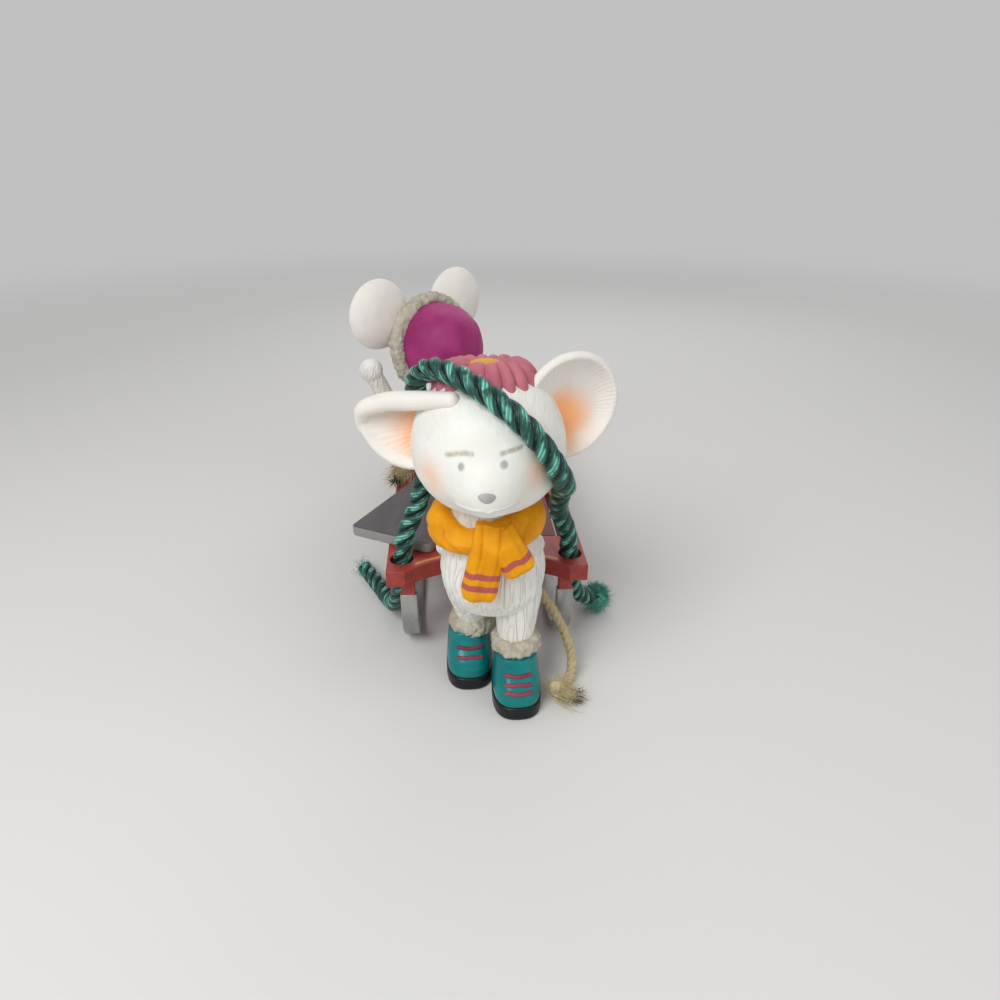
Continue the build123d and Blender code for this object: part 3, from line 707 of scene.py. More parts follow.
def mouseHead(word, body, radius, length, matrix, faceOf=None):
    bm = spun([(r * radius, z * length) for r, z in headProfile], 200, 10)
    scale = radius / 11.5
    for vert, x, y, z in corners(bm, scale):
        cheek = exp(-((abs(x) - 7.5) ** 2 + (y + 4.0) ** 2) / 16 - (z - 4) ** 2 / 30)
        chin = exp(-(x ** 2) / 14 - (y + 6.5) ** 2 / 6 - (z - 9) ** 2 / 18)
        snout = exp(-(x ** 2) / 7 - (y + 1.5) ** 2 / 9 - (z - 14.5) ** 2 / 6)
        bridge = exp(-(x ** 2) / 6 - (y - 2.6) ** 2 / 7 - (z - 12.2) ** 2 / 8)
        out = Vector((x, y, 0)).normalized() if abs(x) + abs(y) > 1e-6 else Vector((0, 0, 1))
        move = out * (0.35 * cheek - 0.25 * chin) + Vector((0, -0.25 * snout, 0.3 * snout))
        move += Vector((0, 0.3, 0.2)) * bridge
        chinLift = exp(-((y + 10) ** 2) / 9 - (z - 6) ** 2 / 40 - x ** 2 / 60)
        move += Vector((0, 1.7, 0)) * chinLift
        move -= Vector((x, 0, 0)) * 0.085 * ease(-y, 2.0, 8.5) * ease(z, -6, 2)
        move += out * 0.05 * rough((x, y, z * 0.5), 0.9)
        vert.co += move * 0.001 * scale
    fur = [0.25 + 0.75 * ease(hypot(x, y), 6.5, 10.5) for vert, x, y, z in corners(bm, scale)]
    local = [vert.co * (1000 / scale) for vert in bm.verts]
    bm.transform(matrix)
    bmesh.ops.recalc_face_normals(bm, faces=bm.faces)
    bm.normal_update()
    paint, strokes = [], []
    if faceOf is None:
        surface = BVHTree.FromBMesh(bm)
        inverse = matrix.inverted()

        def onFace(line):
            return [inverse @ surface.ray_cast(camera.location, photoRay(u, v))[0] * (1000 / scale) for u, v in line]

        spots = {key: onFace(faceForm[key]) for key in ("eyes", "blush")}
        spots["lines"] = [[q.xy for q in onFace(line)] for line in faceForm["brows"] + [faceForm["mouth"]]]
    else:
        spots = faceOf
    for index, vert in enumerate(bm.verts):
        p = local[index]
        eye = blush = brow = mouth = 0.0
        if p.z > 3:
            eye = max(1 - ease(((p - e) * Vector((1.0, 1.15, 0.75))).length, *faceForm["eyeEdge"])
                      for e in spots["eyes"])
            blush = max(exp(-(p - b).length_squared / 7) for b in spots["blush"])
            flat = (p.x, p.y)
            brow = max(1 - ease(nearLine(flat, line), 0.1, 0.36) for line in spots["lines"][:2])
            mouth = 1 - ease(nearLine(flat, spots["lines"][2]), 0.05, 0.34)
        paint.append((eye, blush, brow))
        strokes.append((fur[index] * (1 - 0.6 * eye), mouth * 0.6, 0))
        vert.co -= vert.normal * (0.22 * mouth + 0.16 * eye - 0.1 * brow) * 0.001
    standIn(bm, word + "_head", body, headPaint, "white_paint", paint=paint, strokes=strokes)
    return spots


def mouseNose(word, body, matrix, length, scale):
    tip = 0.58 * length
    nose = ball((0, 0, 0), 1.15 * scale, (1.1, 0.8, 0.55))
    for vert in nose.verts:
        vert.co.x *= 1 + 0.35 * vert.co.y / (0.00135 * scale)
    nose.transform(matrix @ shifted(0, 0.05 * scale, tip - 0.2 * scale))
    standIn(nose, word + "_nose", body, nosePaint, "grey_paint")


def earCup(radius, depth=3.4, wall=1.7):
    rim = radius - wall
    outer = [(0, 1), (0.4, 0.88), (0.72, 0.62), (0.93, 0.26)]
    inner = [(0.85, 0.36), (0.62, 0.66), (0.3, 0.93), (0, 1)]
    lip = [(radius, 0.02), (radius * 0.975, wall * 0.36), (radius - wall / 2, wall * 0.5), (rim, 0.1)]
    return spun([(radius * r, -depth * z) for r, z in outer] + lip +
                [(rim * r, (wall - depth) * z) for r, z in inner], 300, 7)


def paintedEar(node, body, matrix, radius, root, reach):
    bm = earCup(radius)
    bm.normal_update()
    paint, moves = [], []
    for vert, x, y, z in corners(bm):
        away = Vector((x - root[0], y - root[1]))
        inner = 1.0 if vert.normal.z > 0.1 and hypot(x, y) < radius * 0.93 else 0.0
        angle = atan2(away.y, away.x)
        line = sin(angle * 78 + 2.4 * rough((x, y, z), 0.5))
        groove = inner * max(0.0, line) * ease(away.length, 1.0, 4.0)
        shade = inner * (1 - ease(away.length + 0.6 * rough((x, y, 0), 0.3), 0.0, reach))
        wobble = 0.12 * rough((x, y, z), 0.28)
        moves.append(-0.055 * groove + wobble)
        paint.append((shade, groove, 1 - inner))
    pushed(bm, moves)
    bm.transform(matrix)
    standIn(bm, node, body, earSkin, "ear_paint", paint=paint)


def cutAway(bm, spot, way):
    bmesh.ops.bisect_plane(bm, geom=list(bm.verts) + list(bm.edges) + list(bm.faces), dist=1e-7, plane_co=spot,
                           plane_no=way, clear_outer=True)
    bmesh.ops.holes_fill(bm, edges=[e for e in bm.edges if e.is_boundary])


headPaint = faceFinish("paintedFace")
whitePaint = whiteFinish("carvedFur")
earSkin = earFinish("paintedEar")
nosePaint = paintFinish("greyNose", (186, 183, 180), (164, 161, 158), 0.5, 0.00014, 1500)
head = {"radius": 11.5, "length": 27.6, "at": (0.2, 0.2, 46.2), "pitch": 5.0, "turn": -4.0}


def fromHead(*steps):
    return [spot + step for spot, step in zip(head["at"], steps)]


headMatrix = place(*head["at"], ("Z", head["turn"]), ("X", head["pitch"]), ("X", 90))
faceSpots = mouseHead("mouse", "mouse", head["radius"], head["length"], headMatrix)
mouseNose("mouse", "mouse", headMatrix, head["length"], 1.0)
print("head is made")

rightEar = {"spread": 12.2, "back": 1.4, "rise": 5.0, "lean": 8.0, "turn": 24.0, "radius": 8.4}
rightMatrix = place(*fromHead(rightEar["spread"], rightEar["back"], rightEar["rise"]), ("Y", rightEar["lean"]),
                    ("Z", rightEar["turn"]), ("X", 90))
paintedEar("mouse_right_ear", "mouse", rightMatrix, rightEar["radius"], (0.0, -2.3), 7.4)

leftEar = {"spread": 12.0, "rise": 4.0, "turn": -24.0, "fold": 5.4, "end": (-5.3, -5.7, 8.8), "root": (6.0, 2.6),
           "trimAt": (-0.0083, 0, 0.0031), "trimWay": (-0.5, 0, 0.87)}
leftMatrix = place(*fromHead(-leftEar["spread"], rightEar["back"], 0), ("Z", leftEar["turn"]))
cup = earCup(rightEar["radius"])
cup.transform(shifted(0, 0, leftEar["rise"]) @ turnBy("X", 90))
cutAway(cup, (0, 0, leftEar["fold"] * 0.001), (0, 0, 1))
foldEnd = leftMatrix.inverted() @ mm(*fromHead(*leftEar["end"])) * 1000
foldStart = Vector((-0.84 * rightEar["radius"], 0.1, leftEar["fold"]))
cutAway(cup, leftEar["trimAt"], leftEar["trimWay"])
rollLine = flowing([(-7.85, -0.1, 1.2, 0.6), (-7.5, -0.5, 3.2, 0.95), (-6.3, -0.9, 4.9, 1.25),
                    (*foldStart.lerp(foldEnd, 0.3), 1.42), (*foldStart.lerp(foldEnd, 0.6), 1.45), (*foldEnd, 1.15)], 9)
rolls = [roundBar(a.xyz, b.xyz, a.w, b.w) for a, b in zip(rollLine, rollLine[1:])]
foldedEar = welded([cup] + rolls, voxel=0.24, smoothing=7)
paint = []
rollEdge = flowing([(-8.4, 2.0, 0), (-6.0, 4.0, 0), (-3.0, 4.8, 0), (8.0, 5.2, 0)], 4)
for vert, x, y, z in corners(foldedEar):
    front = ease(-vert.normal.y, 0.1, 0.35)
    aside, over = x - leftEar["root"][0], z - leftEar["root"][1]
    away = hypot(aside, over)
    edgeRise = next((a.y + (b.y - a.y) * (x - a.x) / (b.x - a.x) for a, b in zip(rollEdge, rollEdge[1:])
                     if a.x <= x <= b.x), 0.0)
    onCup = 1 - ease(z, edgeRise - 0.7, edgeRise + 0.1)
    inside = front * onCup * (1 - ease(hypot(x, z - leftEar["rise"]), 6.2, 7.2))
    shade = inside * (1 - ease(away + rough((x, z, 0), 0.6), 2.0, 13.5))
    line = sin(atan2(over, aside) * 70 + rough((x, y, z), 0.5))
    groove = inside * max(0.0, line) * ease(away, 1.5, 5)
    paint.append((shade, groove, 1 - inside))
    vert.co -= vert.normal * 0.00008 * groove
foldedEar.transform(leftMatrix)
standIn(foldedEar, "mouse_left_ear", "mouse", earSkin, "ear_paint", paint=paint)
print("ears are made")

# Knit cap with fat ribs

cap = {"rise": 5.7, "back": 1.9, "side": -0.2, "tilt": -9.0, "button": 5.75, "wide": 0.92, "long": 1.01, "ribs": 18,
       "deep": 0.14}
capMatrix = place(*fromHead(cap["side"], cap["back"], cap["rise"]), ("X", cap["tilt"]))
capPaint = paintFinish("roseKnit", (194, 116, 128), (176, 98, 112), 0.6, 0.00012, 900)
bm = spun([(0, -1.6), (5.0, -1.5), (7.6, -1.0), (8.5, 0.8), (8.6, 2.4), (8.2, 4.2), (7.1, 5.6), (5.6, 6.35), (4.1, 6.3),
           (2.8, 5.7), (1.6, 5.5), (0, 5.45)], 300, 8)
for vert, x, y, z in corners(bm):
    angle = atan2(y, x)
    warp = angle + 0.1 * sin(angle * 2 + 1) + 0.05 * sin(angle * 5)
    rib = abs(sin(warp * cap["ribs"] / 2)) ** 0.6
    edge = ease(hypot(x, y), 1.2, 5.0)
    factor = 1 + cap["deep"] * (rib - 0.85) * edge
    vert.co.x *= factor * cap["wide"]
    vert.co.y *= factor * cap["long"]
    swell = 0.55 * (rib - 0.8) * edge * ease(z, 3.5, 6.0)
    vert.co.z += (swell + 0.12 * rough((x, y, z), 0.8)) * 0.001
bm.transform(capMatrix)
standIn(bm, "knit_cap", "mouse", capPaint, "rose_paint")
button = ball((0, 0, 0), 2.3, (1, 1, 0.3), 40)
for vert in button.verts:
    angle = atan2(vert.co.y, vert.co.x)
    vert.co *= 1 + 0.06 * abs(sin(angle * 4))
button.transform(capMatrix @ shifted(0, 0, cap["button"]))
ochrePaint = paintFinish("ochreButton", (220, 165, 45), (196, 138, 30), 0.55)
standIn(button, "cap_button", "mouse", ochrePaint, "ochre_paint")
print("cap is made")

# Body, legs and arms of the walking mouse

trunk = {"x": 0.9, "y": 2.2, "bottom": 16.8, "height": 14.4, "radius": 8.6, "neck": 5.0, "hip": 3.9}
boots = {"left": (-3.2, 5.8), "right": (4.5, -2.3), "ankleBack": 1.3, "cuffSide": 0.9}


# Welded fur with grooves, and lines of painted groove shade that fade where the surface lies level
def furSkin(shapes, node, body, matrix, voxel, calm, depth, size=620, stretch=(1, 1, 0.14)):
    bm = welded(shapes, voxel, calm)
    bm.normal_update()
    moves = []
    for vert in bm.verts:
        spot = vert.co * Vector(stretch) * size
        spot += Vector((3, 0, 0)) + 0.4 * noise.noise_vector(spot * 0.5)
        steep = 1 - ease(abs(vert.normal.z), 0.4, 0.8)
        moves.append(-depth * steep * (1 - min(1.0, abs(rough(spot, 1)) * 4)))
    pushed(bm, moves)
    bm.transform(matrix)
    bm.normal_update()
    steep = [(1 - ease(abs(vert.normal.z), 0.35, 0.75), 0, 0) for vert in bm.verts]
    standIn(bm, node, body, whitePaint, "white_paint", steep=steep)


def trunkShape():
    radius, height, neck = trunk["radius"], trunk["height"], trunk["neck"]
    bm = spun([(0, 0), (radius * 0.6, height * 0.04), (radius * 0.9, height * 0.2), (radius, height * 0.45),
               (radius * 0.97, height * 0.65), (radius * 0.86, height * 0.84), (neck, height * 1.02),
               (neck * 0.93, height * 1.2), (neck * 0.6, height * 1.3), (0, height * 1.32)], 64, 5)
    bm.transform(shifted(trunk["x"], trunk["y"], trunk["bottom"]))
    return bm


ankles = {"left": (boots["left"][0] + boots["cuffSide"], boots["left"][1] + boots["ankleBack"]),
          "right": (boots["right"][0], boots["right"][1] + boots["ankleBack"])}
shapes = [trunkShape(), roundBar((-0.2, 0.9, 26.0), (-0.2, 0.9, 34.5), 6.0, 5.7)]
for side, word in ((-1, "left"), (1, "right")):
    ax, ay = ankles[word]
    hip = (trunk["x"] + side * trunk["hip"], trunk["y"] + (boots[word][1] - trunk["y"]) / 3, 19.6)
    shapes.append(roundBar((ax, ay, 11.6), hip, 3.0, 4.1))
frameShift = Matrix.Translation(centring)
furSkin(shapes, "mouse_body", "mouse", frameShift, voxel=0.23, calm=2, depth=0.2)
for side, word in ((-1, "left"), (1, "right")):
    shoulder = (trunk["x"] + side * 4.3, 4.8, 27.4)
    elbow = (trunk["x"] + side * 7.6, 8.8, 24.0)
    hand = (trunk["x"] + side * 2.4, 11.6, 23.0)
    shapes = [roundBar(shoulder, elbow, 1.4, 1.8), roundBar(elbow, hand, 1.8, 1.6), ball(hand, 2.1, (1, 0.8, 1))]
    for k in (-1, 0, 1):
        shapes.append(roundBar(hand, (hand[0] - side * 1.6, hand[1] - 0.2, hand[2] + k * 0.95), 0.65))
    furSkin(shapes, "mouse_" + word + "_arm", "mouse", frameShift, voxel=0.22, calm=3, depth=0.1, size=1100,
            stretch=(1, 0.4, 1))
print("body is made")

# Scarf: a wrap and two painted ends

scarfForm = {"ring": 6.6, "wide": 2.45, "tall": 2.85, "at": (-0.2, 1.4, 33.7), "tilt": 6.0, "roll": -4.0}


def scarfFinish(name, bars):
    cloth = Finish(name, (234, 162, 8), Specular_IOR_Level=0.2)
    along, across = cloth.marks("cloth")[:2]
    cloud = cloth.grain(220, 3)
    tone = cloth.mix(cloud.step(0.3, 0.7), (236, 164, 10), (222, 144, 4))
    for bar in bars:
        ripple = along + 0.1 * (across * 2.3 + bar * 3).wave() - bar
        tone = cloth.mix(1 - ripple.size().step(0.42, 0.6), tone, (178, 88, 84))
    return cloth.done(tone, 0.48 + 0.2 * cloud, cloth.grain(900, 3) + 0.6 * cloud, 0.00011)


plainScarf = scarfFinish("yellowScarf", [])
bm = ring(scarfForm["ring"], scarfForm["wide"], scarfForm["tall"], 160, 36)
for vert, x, y, z in corners(bm):
    angle = atan2(y, x)
    out = hypot(x, y) - scarfForm["ring"]
    lobe = exp(-((angle + 2.75) ** 2) / 0.25) + exp(-((angle + 0.45) ** 2) / 0.22)
    crease = exp(-((angle + 2.35 + 0.12 * z) ** 2) / 0.004)
    crease += exp(-((angle + 0.98 - 0.16 * z) ** 2) / 0.004)
    crease += 0.5 * exp(-((angle + 3.0 - 0.3 * z) ** 2) / 0.006)
    if angle > 0:
        swirl = sin(z * 1.15 + 1.3 * sin(angle * 1.2 + 0.4))
        behind = ease(angle, 0.0, 0.6) * ease(3.1 - angle, 0.0, 0.6)
        crease += 0.7 * (1 - ease(abs(swirl), 0.0, 0.45)) * behind
    grow = 0.5 * lobe - 0.75 * crease * ease(out, -0.5, 1.5)
    drop = 1.5 * exp(-((angle + 2.1) ** 2) / 0.22) * ease(z, -0.5, 2.0)
    out = Vector((x, y, 0)).normalized() * (grow + 0.18 * rough((x, y, z), 0.45))
    vert.co += (out + Vector((0, 0, -drop + 0.25 * lobe * z / 3))) * 0.001
bm.transform(place(*scarfForm["at"], ("Y", scarfForm["roll"]), ("X", scarfForm["tilt"])))
standIn(bm, "scarf_wrap", "mouse", plainScarf, "yellow_paint")


def scarfEnd(node, finish, length, wide, matrix, taper, ripple):
    bm = bmesh.new()
    bmesh.ops.create_cube(bm, size=0.001)
    bm.transform(Matrix.Diagonal((wide, 1.7, length, 1)))
    bm.transform(shifted(0, 0, -length / 2))
    bmesh.ops.subdivide_edges(bm, edges=[e for e in bm.edges], cuts=24, use_grid_fill=True)
    cloth = []
    for vert, x, y, z in corners(bm):
        down = -z / length
        cloth.append((-z, x, 0))
        corner = ease(down, 0.8, 1.0)
        half = wide / 2
        x *= taper + (1 - taper) * down ** 0.7
        x *= 1 - 0.22 * corner ** 3 * abs(x / half) ** 0.5
        edge = min(1.0, abs(x) / (half * 1.02))
        hem = sqrt(max(0.05, 1 - 0.8 * ease(down, 0.88, 1.0) ** 2))
        y *= sqrt(max(0.0, 1 - 0.85 * edge ** 4)) * hem
        y -= 0.28 * cos(x / half * 2.2 + 0.5) + ripple * sin(x * 2.0 + z * 0.25) * 0.22
        y += 2.0 * (1 - ease(down, 0.0, 0.3))
        for foldAt in (-0.45, 0.5):
            near = exp(-((x / half - foldAt - 0.15 * sin(down * 4)) ** 2) / 0.006)
            y += 0.3 * near * sqrt(max(0.0, 1 - down))
        z += 0.4 * corner * (x / half) ** 2
        vert.co = Vector((x, y, z)) * 0.001
    bmesh.ops.recalc_face_normals(bm, faces=bm.faces)
    bm.transform(matrix)
    obj = standIn(bm, node, "mouse", finish, "yellow_paint", cloth=cloth)
    softer = obj.modifiers.new("soften", "SUBSURF")
    softer.levels = softer.render_levels = 1


scarfEnd("scarf_long_end", scarfFinish("scarfLongEndCloth", [7.5, 9.5]), 12.0, 5.6,
         place(0.3, -8.4, 36.2, ("X", -3.0), ("Y", 12.0)), taper=0.84, ripple=1.0)
scarfEnd("scarf_short_end", scarfFinish("scarfShortEndCloth", [4.9]), 7.2, 5.2,
         place(1.4, -8.2, 35.2, ("X", -3.0), ("Y", -27.0)), taper=0.8, ripple=0.8)
print("scarf is made")

# Boots, soles, laces and fur cuffs

bootForm = {"wide": 8.3, "long": 12.4, "sole": 2.4, "high": 9.4, "ankleWide": 7.0, "ankleLong": 7.2}
tealPaint = paintFinish("tealGloss", (4, 128, 128), (2, 108, 112), 0.32, 0.00006, 420, 0.15)
blackPaint = paintFinish("blackSole", (32, 34, 36), (20, 26, 30), 0.35, 0.00006)
lacePaint = paintFinish("mauveLace", (150, 74, 88), (110, 52, 70), 0.4)
furPaint = paintFinish("greyFur", (196, 190, 174), (170, 163, 146), 0.8, 0.0003, 2200)


# Rounded oblongs, one over the other; a corner of 1 would make them ellipses
def stacked(layers):
    bm = bmesh.new()
    hoops, corner, segments = [], 2 / 2.7, 64
    for wide, long, y, z in layers:
        hoop = bmesh.ops.create_circle(bm, segments=segments, radius=0.001)["verts"]
        for vert in hoop:
            c, s = vert.co.x * 1000, vert.co.y * 1000
            vert.co = Vector((copysign(abs(c) ** corner, c) * wide / 2,
                              copysign(abs(s) ** corner, s) * long / 2 + y, z)) * 0.001
        hoops.append({e for v in hoop for e in v.link_edges})
    for low, high in zip(hoops, hoops[1:]):
        bmesh.ops.bridge_loops(bm, edges=list(low | high))
    for hoop in (hoops[0], hoops[-1]):
        bmesh.ops.contextual_create(bm, geom=list(hoop))
    bmesh.ops.recalc_face_normals(bm, faces=bm.faces)
    return bm


def bootPair(node, body, matrix, rises):
    f = bootForm
    slack = (f["wide"] - 0.35 - f["ankleWide"], f["long"] - 0.5 - f["ankleLong"])
    upper = []
    forms = flowing([(0, 1, 1, 0), (0.16, 1.14, 1.02, 0.04), (0.32, 1.0, 0.93, 0.16), (0.62, 0.55, 0.42, 0.66),
                     (0.82, 0.2, 0.14, 0.9), (1, 0, 0, 1)], 5)
    for rise, wide, long, back in forms:
        squeeze = 0.965 if rise == 0 else 1
        upper.append(((f["ankleWide"] + slack[0] * wide) * squeeze, (f["ankleLong"] + slack[1] * long) * squeeze,
                      boots["ankleBack"] * back, f["sole"] + (f["high"] - f["sole"]) * rise))
    sole = [(f["wide"] * s, f["long"] * s * 0.998, 0, z) for s, z in
            ((0.93, 0.02), (0.985, 0.18), (1.0, 0.5), (0.985, 1.2), (1.0, 1.9), (0.985, 2.3), (0.93, 2.42))]
    upper, sole = stacked(upper), stacked(sole)
    for vert, x, y, z in corners(upper):
        t = (z - f["sole"]) / (f["high"] - f["sole"])
        toe = exp(-((t - 0.3) ** 2) / 0.002) * (1 - ease(y, -3.5, 1.0))
        tongue = 0.22 * (1 - ease(abs(x), 2.1, 2.5)) * ease(t, 0.3, 0.42) * (1 if y < 1 else 0)
        vert.co += (Vector((x * 0.5, y, 0)).normalized() * (tongue - 0.12 * toe) +
                    Vector((0, 0, 0.04 * rough((x, y, z), 1)))) * 0.001
    surface = BVHTree.FromBMesh(upper)
    laces, steps = [], 8
    for rise in rises:
        height = f["sole"] + (f["high"] - f["sole"]) * rise
        spots = []
        for k in range(steps + 1):
            x = -2.0 + 4.0 * k / steps
            start = Vector((x, -12, height + 0.07 * sin(k * 0.9 + rise * 20))) * 0.001
            hit = surface.ray_cast(start, Vector((0, 1, 0)))[0]
            if hit:
                spots.append(hit + Vector((0, 0.00002, 0)))
        for a, b in zip(spots, spots[1:]):
            laces.append(roundBar(a * 1000, b * 1000, 0.36))
    upper.transform(matrix)
    sole.transform(matrix)
    standIn(upper, node + "_boot", body, tealPaint, "teal_gloss")
    standIn(sole, node + "_boot_sole", body, blackPaint, "black_paint")
    lace = joined(laces)
    lace.transform(matrix)
    return lace


def furRing(node, body, matrix, ringRadius=2.85, band=1.4, steps=180, seed=0.0, lump=820):
    bm = ring(ringRadius, band, band * 1.15, steps, 44)
    lumps(bm, lump, 0.46 * band / 1.4, seed)
    lumps(bm, lump * 2.6, 0.16, seed + 1)
    bm.transform(matrix)
    standIn(bm, node, body, furPaint, "fur_paint")


laceShapes = []
laceRises = {"left": (0.5, 0.68), "right": (0.36, 0.52, 0.68)}
for index, word in enumerate(("left", "right")):
    laceShapes.append(bootPair("mouse_" + word, "mouse", place(*boots[word], 0), laceRises[word]))
    furRing("mouse_" + word + "_fur_cuff", "mouse", place(*ankles[word], 10.0 + 1.1 * index), band=1.65 - 0.2 * index,
            seed=index * 7.0)
standIn(joined(laceShapes), "boot_laces", "mouse", lacePaint, "mauve_paint")
print("boots are made")


# Sled: the plain solids with their edges softened

def softened(node, finish, slotName, width=0.25, segments=3):
    bm = bmesh.new()
    bm.from_mesh(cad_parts[node].data)
    bmesh.ops.remove_doubles(bm, verts=bm.verts, dist=1e-6)
    bmesh.ops.dissolve_limit(bm, angle_limit=radians(1), verts=bm.verts, edges=bm.edges)
    sharp = [e for e in bm.edges if len(e.link_faces) == 2 and e.calc_face_angle(0) > radians(35)]
    bmesh.ops.bevel(bm, geom=sharp, offset=width * 0.001, offset_type="OFFSET", affect="EDGES", segments=segments,
                    profile=0.5, material=-1, clamp_overlap=True)
    standIn(bm, node, "sled", finish, slotName).modifiers.new("even", "WEIGHTED_NORMAL").keep_sharp = True


def redFinish(name, stripe=None):
    paint = Finish(name, (160, 58, 50))
    lines = paint.grain(700, 4, 0.6, (1, 0.2, 1))
    cloud = paint.grain(180, 2)
    tone = paint.mix(lines.step(0.35, 0.7), (146, 50, 44), (166, 62, 54))
    tone = paint.mix(cloud.step(0.5, 0.8) * 0.5, tone, (124, 40, 34))
    if stripe:
        shift = paint.add("VectorMath", {"operation": "SUBTRACT"}, {0: paint.spot, 1: stripe["centre"]})
        x, y, z = paint.split(shift)
        reach = (x * x + y * y) ** 0.5
        band = 1 - ((reach - stripe["radius"]).size() * 1000).step(0.26, 0.42)
        top = (z * 1000).step(-0.25, -0.05)
        ends = 1 - (x.size() * 1000).step(12.4, 12.7)
        tone = paint.mix(band * top * ends, tone, (206, 130, 60))
    return paint.done(tone, 0.34 + 0.2 * cloud, lines + 0.5 * paint.grain(2500, 2), 0.00006)


sled = {"x": 0.3, "front": 7.5, "inner": 14.4, "bow": 5.2, "deck": 19.9}
bowRadius = (sled["inner"] ** 2 + sled["bow"] ** 2) / (2 * sled["bow"])
bowCentre = mm(sled["x"], sled["front"] + sled["bow"] - bowRadius, sled["deck"])
barPaint = redFinish("redBar", {"centre": bowCentre, "radius": (bowRadius + 1.0) * 0.001})
redPaint = redFinish("redPaint")
deckPaint = woodFinish("deckRed", (124, 44, 32), (98, 32, 24), 0.45)
silver = Finish("silverPaint", (160, 161, 160), Metallic=0.55)
lines = silver.grain(500, 4, 0.6, (1, 0.3, 0.3))
silverPaint = silver.done(silver.mix(lines.step(0.3, 0.7), (150, 150, 149), (176, 177, 177)), 0.28 + 0.25 * lines,
                          lines, 0.00006)
softened("sled_front_bar", barPaint, "red_paint", 0.3)
for word in ("left", "right"):
    softened("sled_" + word + "_rail", redPaint, "red_paint")
    softened("sled_" + word + "_posts", redPaint, "red_paint", 0.15, 2)
    softened("sled_" + word + "_runner", silverPaint, "silver_paint", 0.18, 2)
for index in (1, 2, 3):
    softened("deck_board_" + str(index), deckPaint, "deck_paint", 0.2, 2)
softened("deck_bearers", deckPaint, "deck_paint", 0.2, 2)
print("sled is made")

# Shovel

steel = Finish("shovelSteel", (100, 98, 100))
# Painted light: faces that look up get the dark tones and the other faces a light grey, standing in for shade on the
# top and reflected light on the edges.
topShadeShare = steel.split(steel.add("TexCoord", out="Normal"))[2]
lines = steel.grain(420, 4, 0.6, (1, 0.3, 1))
tone = steel.mix(lines.step(0.3, 0.7), (66, 62, 66), (82, 78, 82))
bladePaint = steel.done(steel.mix(topShadeShare.step(0.5, 0.95), (140, 138, 138), tone), 0.3 + 0.2 * lines, lines, 0.00006)
shaftPaint = woodFinish("shovelWood", (126, 88, 58), (96, 64, 40), 0.55)
softened("shovel_blade", bladePaint, "steel_grey_paint", 0.35)
softened("shovel_shaft", shaftPaint, "brown_paint", 0.1, 2)
softened("shovel_grip", shaftPaint, "brown_paint", 0.4)
print("shovel is made")

# Riding mouse, in its own place

rider = {"at": (-4.9, 74.0, 19.95), "turn": 185.0, "headAt": (3.5, 0.5, 22.6), "headTurn": 36.0, "radius": 8.3,
         "length": 22.0, "earSpread": 11.6, "earForward": 5.6, "earRise": 7.8, "earRadius": 7.9, "lean": 8.0}
riderSeat = place(*rider["at"], ("Z", rider["turn"]))
riderHead = riderSeat @ shifted(*rider["headAt"]) @ turnBy("Z", rider["headTurn"])
riderAxis = riderHead @ turnBy("X", head["pitch"]) @ turnBy("X", 90)
mouseHead("rider", "sled", rider["radius"], rider["length"], riderAxis, faceSpots)
mouseNose("rider", "sled", riderAxis, rider["length"], 0.85)
for side, word in ((-1, "right"), (1, "left")):
    earMatrix = riderHead @ shifted(side * rider["earSpread"], -rider["earForward"], rider["earRise"])
    earMatrix = earMatrix @ turnBy("Y", side * rider["lean"])
    earMatrix = earMatrix @ turnBy("X", 90)
    paintedEar("rider_" + word + "_ear", "sled", earMatrix, rider["earRadius"], (-side * 4.6, -2.6), 8.0)
magentaPaint = paintFinish("magentaHood", (166, 52, 118), (142, 38, 98), 0.5, 0.0001, 600)
hoodFront = 1.4
bm = spun([(0, -12.4), (3.2, -12.0), (5.95, -10.3), (7.9, -7.6), (9.2, -4.5), (9.6, -1.2), (9.6, 1.4), (9.2, 1.5),
           (8.9, 1.3), (8.85, -1.0), (8.4, -4.2), (7.2, -7.0), (5.2, -9.5), (2.8, -11.1), (0, -11.5)], 160, 8)
for vert, x, y, z in corners(bm):
    angle = atan2(y, x)
    fold = 0.3 * sin(angle * 5 + 0.4 * z) * ease(-z, 0.5, 6) * ease(hypot(x, y), 2, 6)
    flat = Vector((x, y, 0)).normalized() if abs(x) + abs(y) > 1e-6 else Vector((0, 0, 0))
    vert.co += flat * (fold * 0.5 + 0.12 * rough((x, y, z), 0.4)) * 0.001
bm.transform(riderAxis)
standIn(bm, "rider_hood", "sled", magentaPaint, "magenta_paint")
furRing("rider_hood_trim", "sled", riderAxis @ shifted(0, 0, hoodFront), 10.2, band=1.8, steps=320, seed=3.0, lump=560)

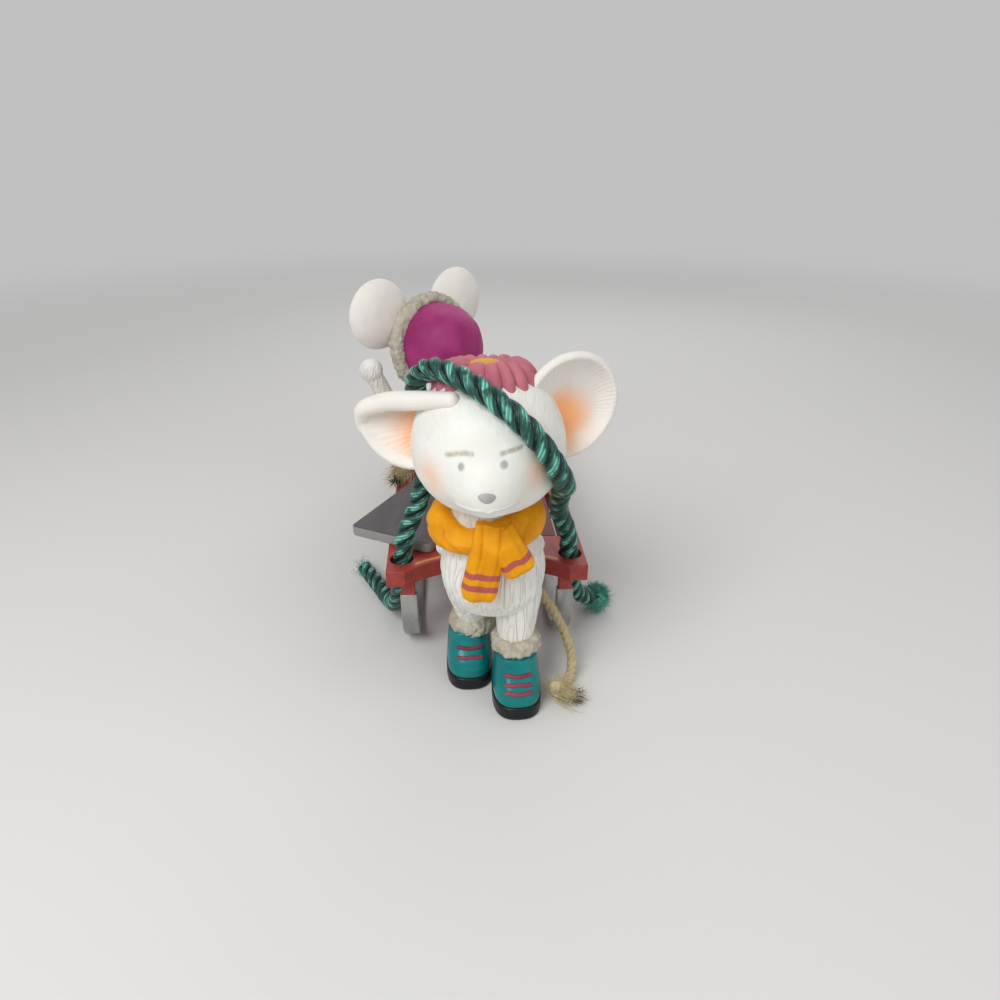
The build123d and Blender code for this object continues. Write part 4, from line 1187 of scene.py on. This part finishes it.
seat = {"lean": 12.0, "spread": 4.6, "reach": 22.0}
coat = spun([(0, 0.05), (7.2, 0.3), (8.6, 2.2), (8.0, 5.4), (6.4, 8.0), (4.6, 9.6), (2.0, 10.6), (0, 10.9)], 64, 5)
coat.transform(turnBy("Y", seat["lean"]))
for vert in coat.verts:
    vert.co.z = max(vert.co.z, 0.00005)
shapes = [coat, roundBar((rider["headAt"][0] * 0.8, 3.6, 7.0), (rider["headAt"][0] * 0.9, 3.4, 15.0), 4.6, 3.9)]
for side in (-1, 1):
    shapes.append(roundBar((side * seat["spread"], -2.4, 3.6), (side * seat["spread"], -11.0, 4.9), 3.1, 2.8))
furSkin(shapes, "rider_body", "sled", riderSeat, voxel=0.3, calm=2, depth=0.12)
for side, word in ((-1, "right"), (1, "left")):
    shoulder = Vector((side * 8.55, 0, 8.4))
    if side > 0:
        elbow = shoulder + Vector((1.2, 0.3, -0.1)) * 5.2
        paw = elbow + Vector((0.8, 0.4, 1.9)) * 5.2
    else:
        elbow = shoulder + Vector((-0.8, 0.1, -0.6)) * 5.2
        paw = Vector((elbow.x - 2.1, -5.16, 2.6))
    shapes = [roundBar(shoulder, elbow, 2.3, 2.2), roundBar(elbow, paw, 2.2, 2.0), ball(paw, 2.8, (1, 0.85, 1))]
    way = (paw - elbow).normalized()
    for k in (-1, 0, 1):
        aside = way.cross(Vector((0, 1, 0))).normalized() * k * 1.1
        shapes.append(roundBar(paw, paw + way * 1.5 + aside, 0.75))
    furSkin(shapes, "rider_" + word + "_arm", "sled", riderSeat, voxel=0.26, calm=3, depth=0.07, size=900,
            stretch=(1, 1, 0.25))
    foot = riderSeat @ shifted(side * seat["spread"], -seat["reach"], bootForm["long"] / 2)
    foot = foot @ turnBy("X", -90)
    lace = bootPair("rider_" + word, "sled", foot, laceRises["right"])
    settle(lace, "rider" + word.capitalize() + "Laces", "sled", lacePaint, "mauve_paint")
    furRing("rider_" + word + "_fur_cuff", "sled", foot @ shifted(0, boots["ankleBack"], 10.85), seed=side * 5.0)
print("riding mouse is made")

# Floor and light

floorFinish = Finish("paleFloor", (224, 223, 221), Roughness=0.8, Specular_IOR_Level=0.0)
floorReach = floorFinish.add("VectorMath", {"operation": "LENGTH"}, {0: floorFinish.spot}, 1)
floorFinish.set("Alpha", 1 - floorReach.step(0.1, 0.55))
bm = bmesh.new()
bmesh.ops.create_grid(bm, x_segments=1, y_segments=1, size=1.6)
floor = linked("floor", meshOf(bm, "floor"))
floor.data.materials.append(floorFinish.material)
world = bpy.data.worlds.new("studio")
bpy.context.scene.world = world
world.use_nodes = True
studio = Sheet(world.node_tree)
rays = [studio.add("LightPath", out=kind + " Ray") for kind in ("Is Camera", "Is Glossy")]
backLight = studio.tree.nodes["Background"]
studio.plug(backLight.inputs["Color"], (1, 1, 1, 1))
studio.plug(backLight.inputs["Strength"],
            studio.add("MapRange", None, {"Value": rays[0].sum("MAXIMUM", *rays), "To Min": 0.42, "To Max": 0.53}))
lamps = {"key": ((-140, -190, 260), 0.16, 0.67), "fill": ((220, -160, 140), 0.3, 0.16),
         "back": ((60, 260, 220), 0.3, 0.22)}
for name, (spot, size, power) in lamps.items():
    light = bpy.data.lights.new(name, "AREA")
    light.size = size
    light.energy = power
    lamp = linked(name, light)
    lamp.location = mm(*spot)
    lamp.rotation_euler = (mm(0, 20, 25) - lamp.location).to_track_quat("-Z", "Y").to_euler()
bpy.context.scene.view_settings.view_transform = "Standard"
print("floor and light are set")
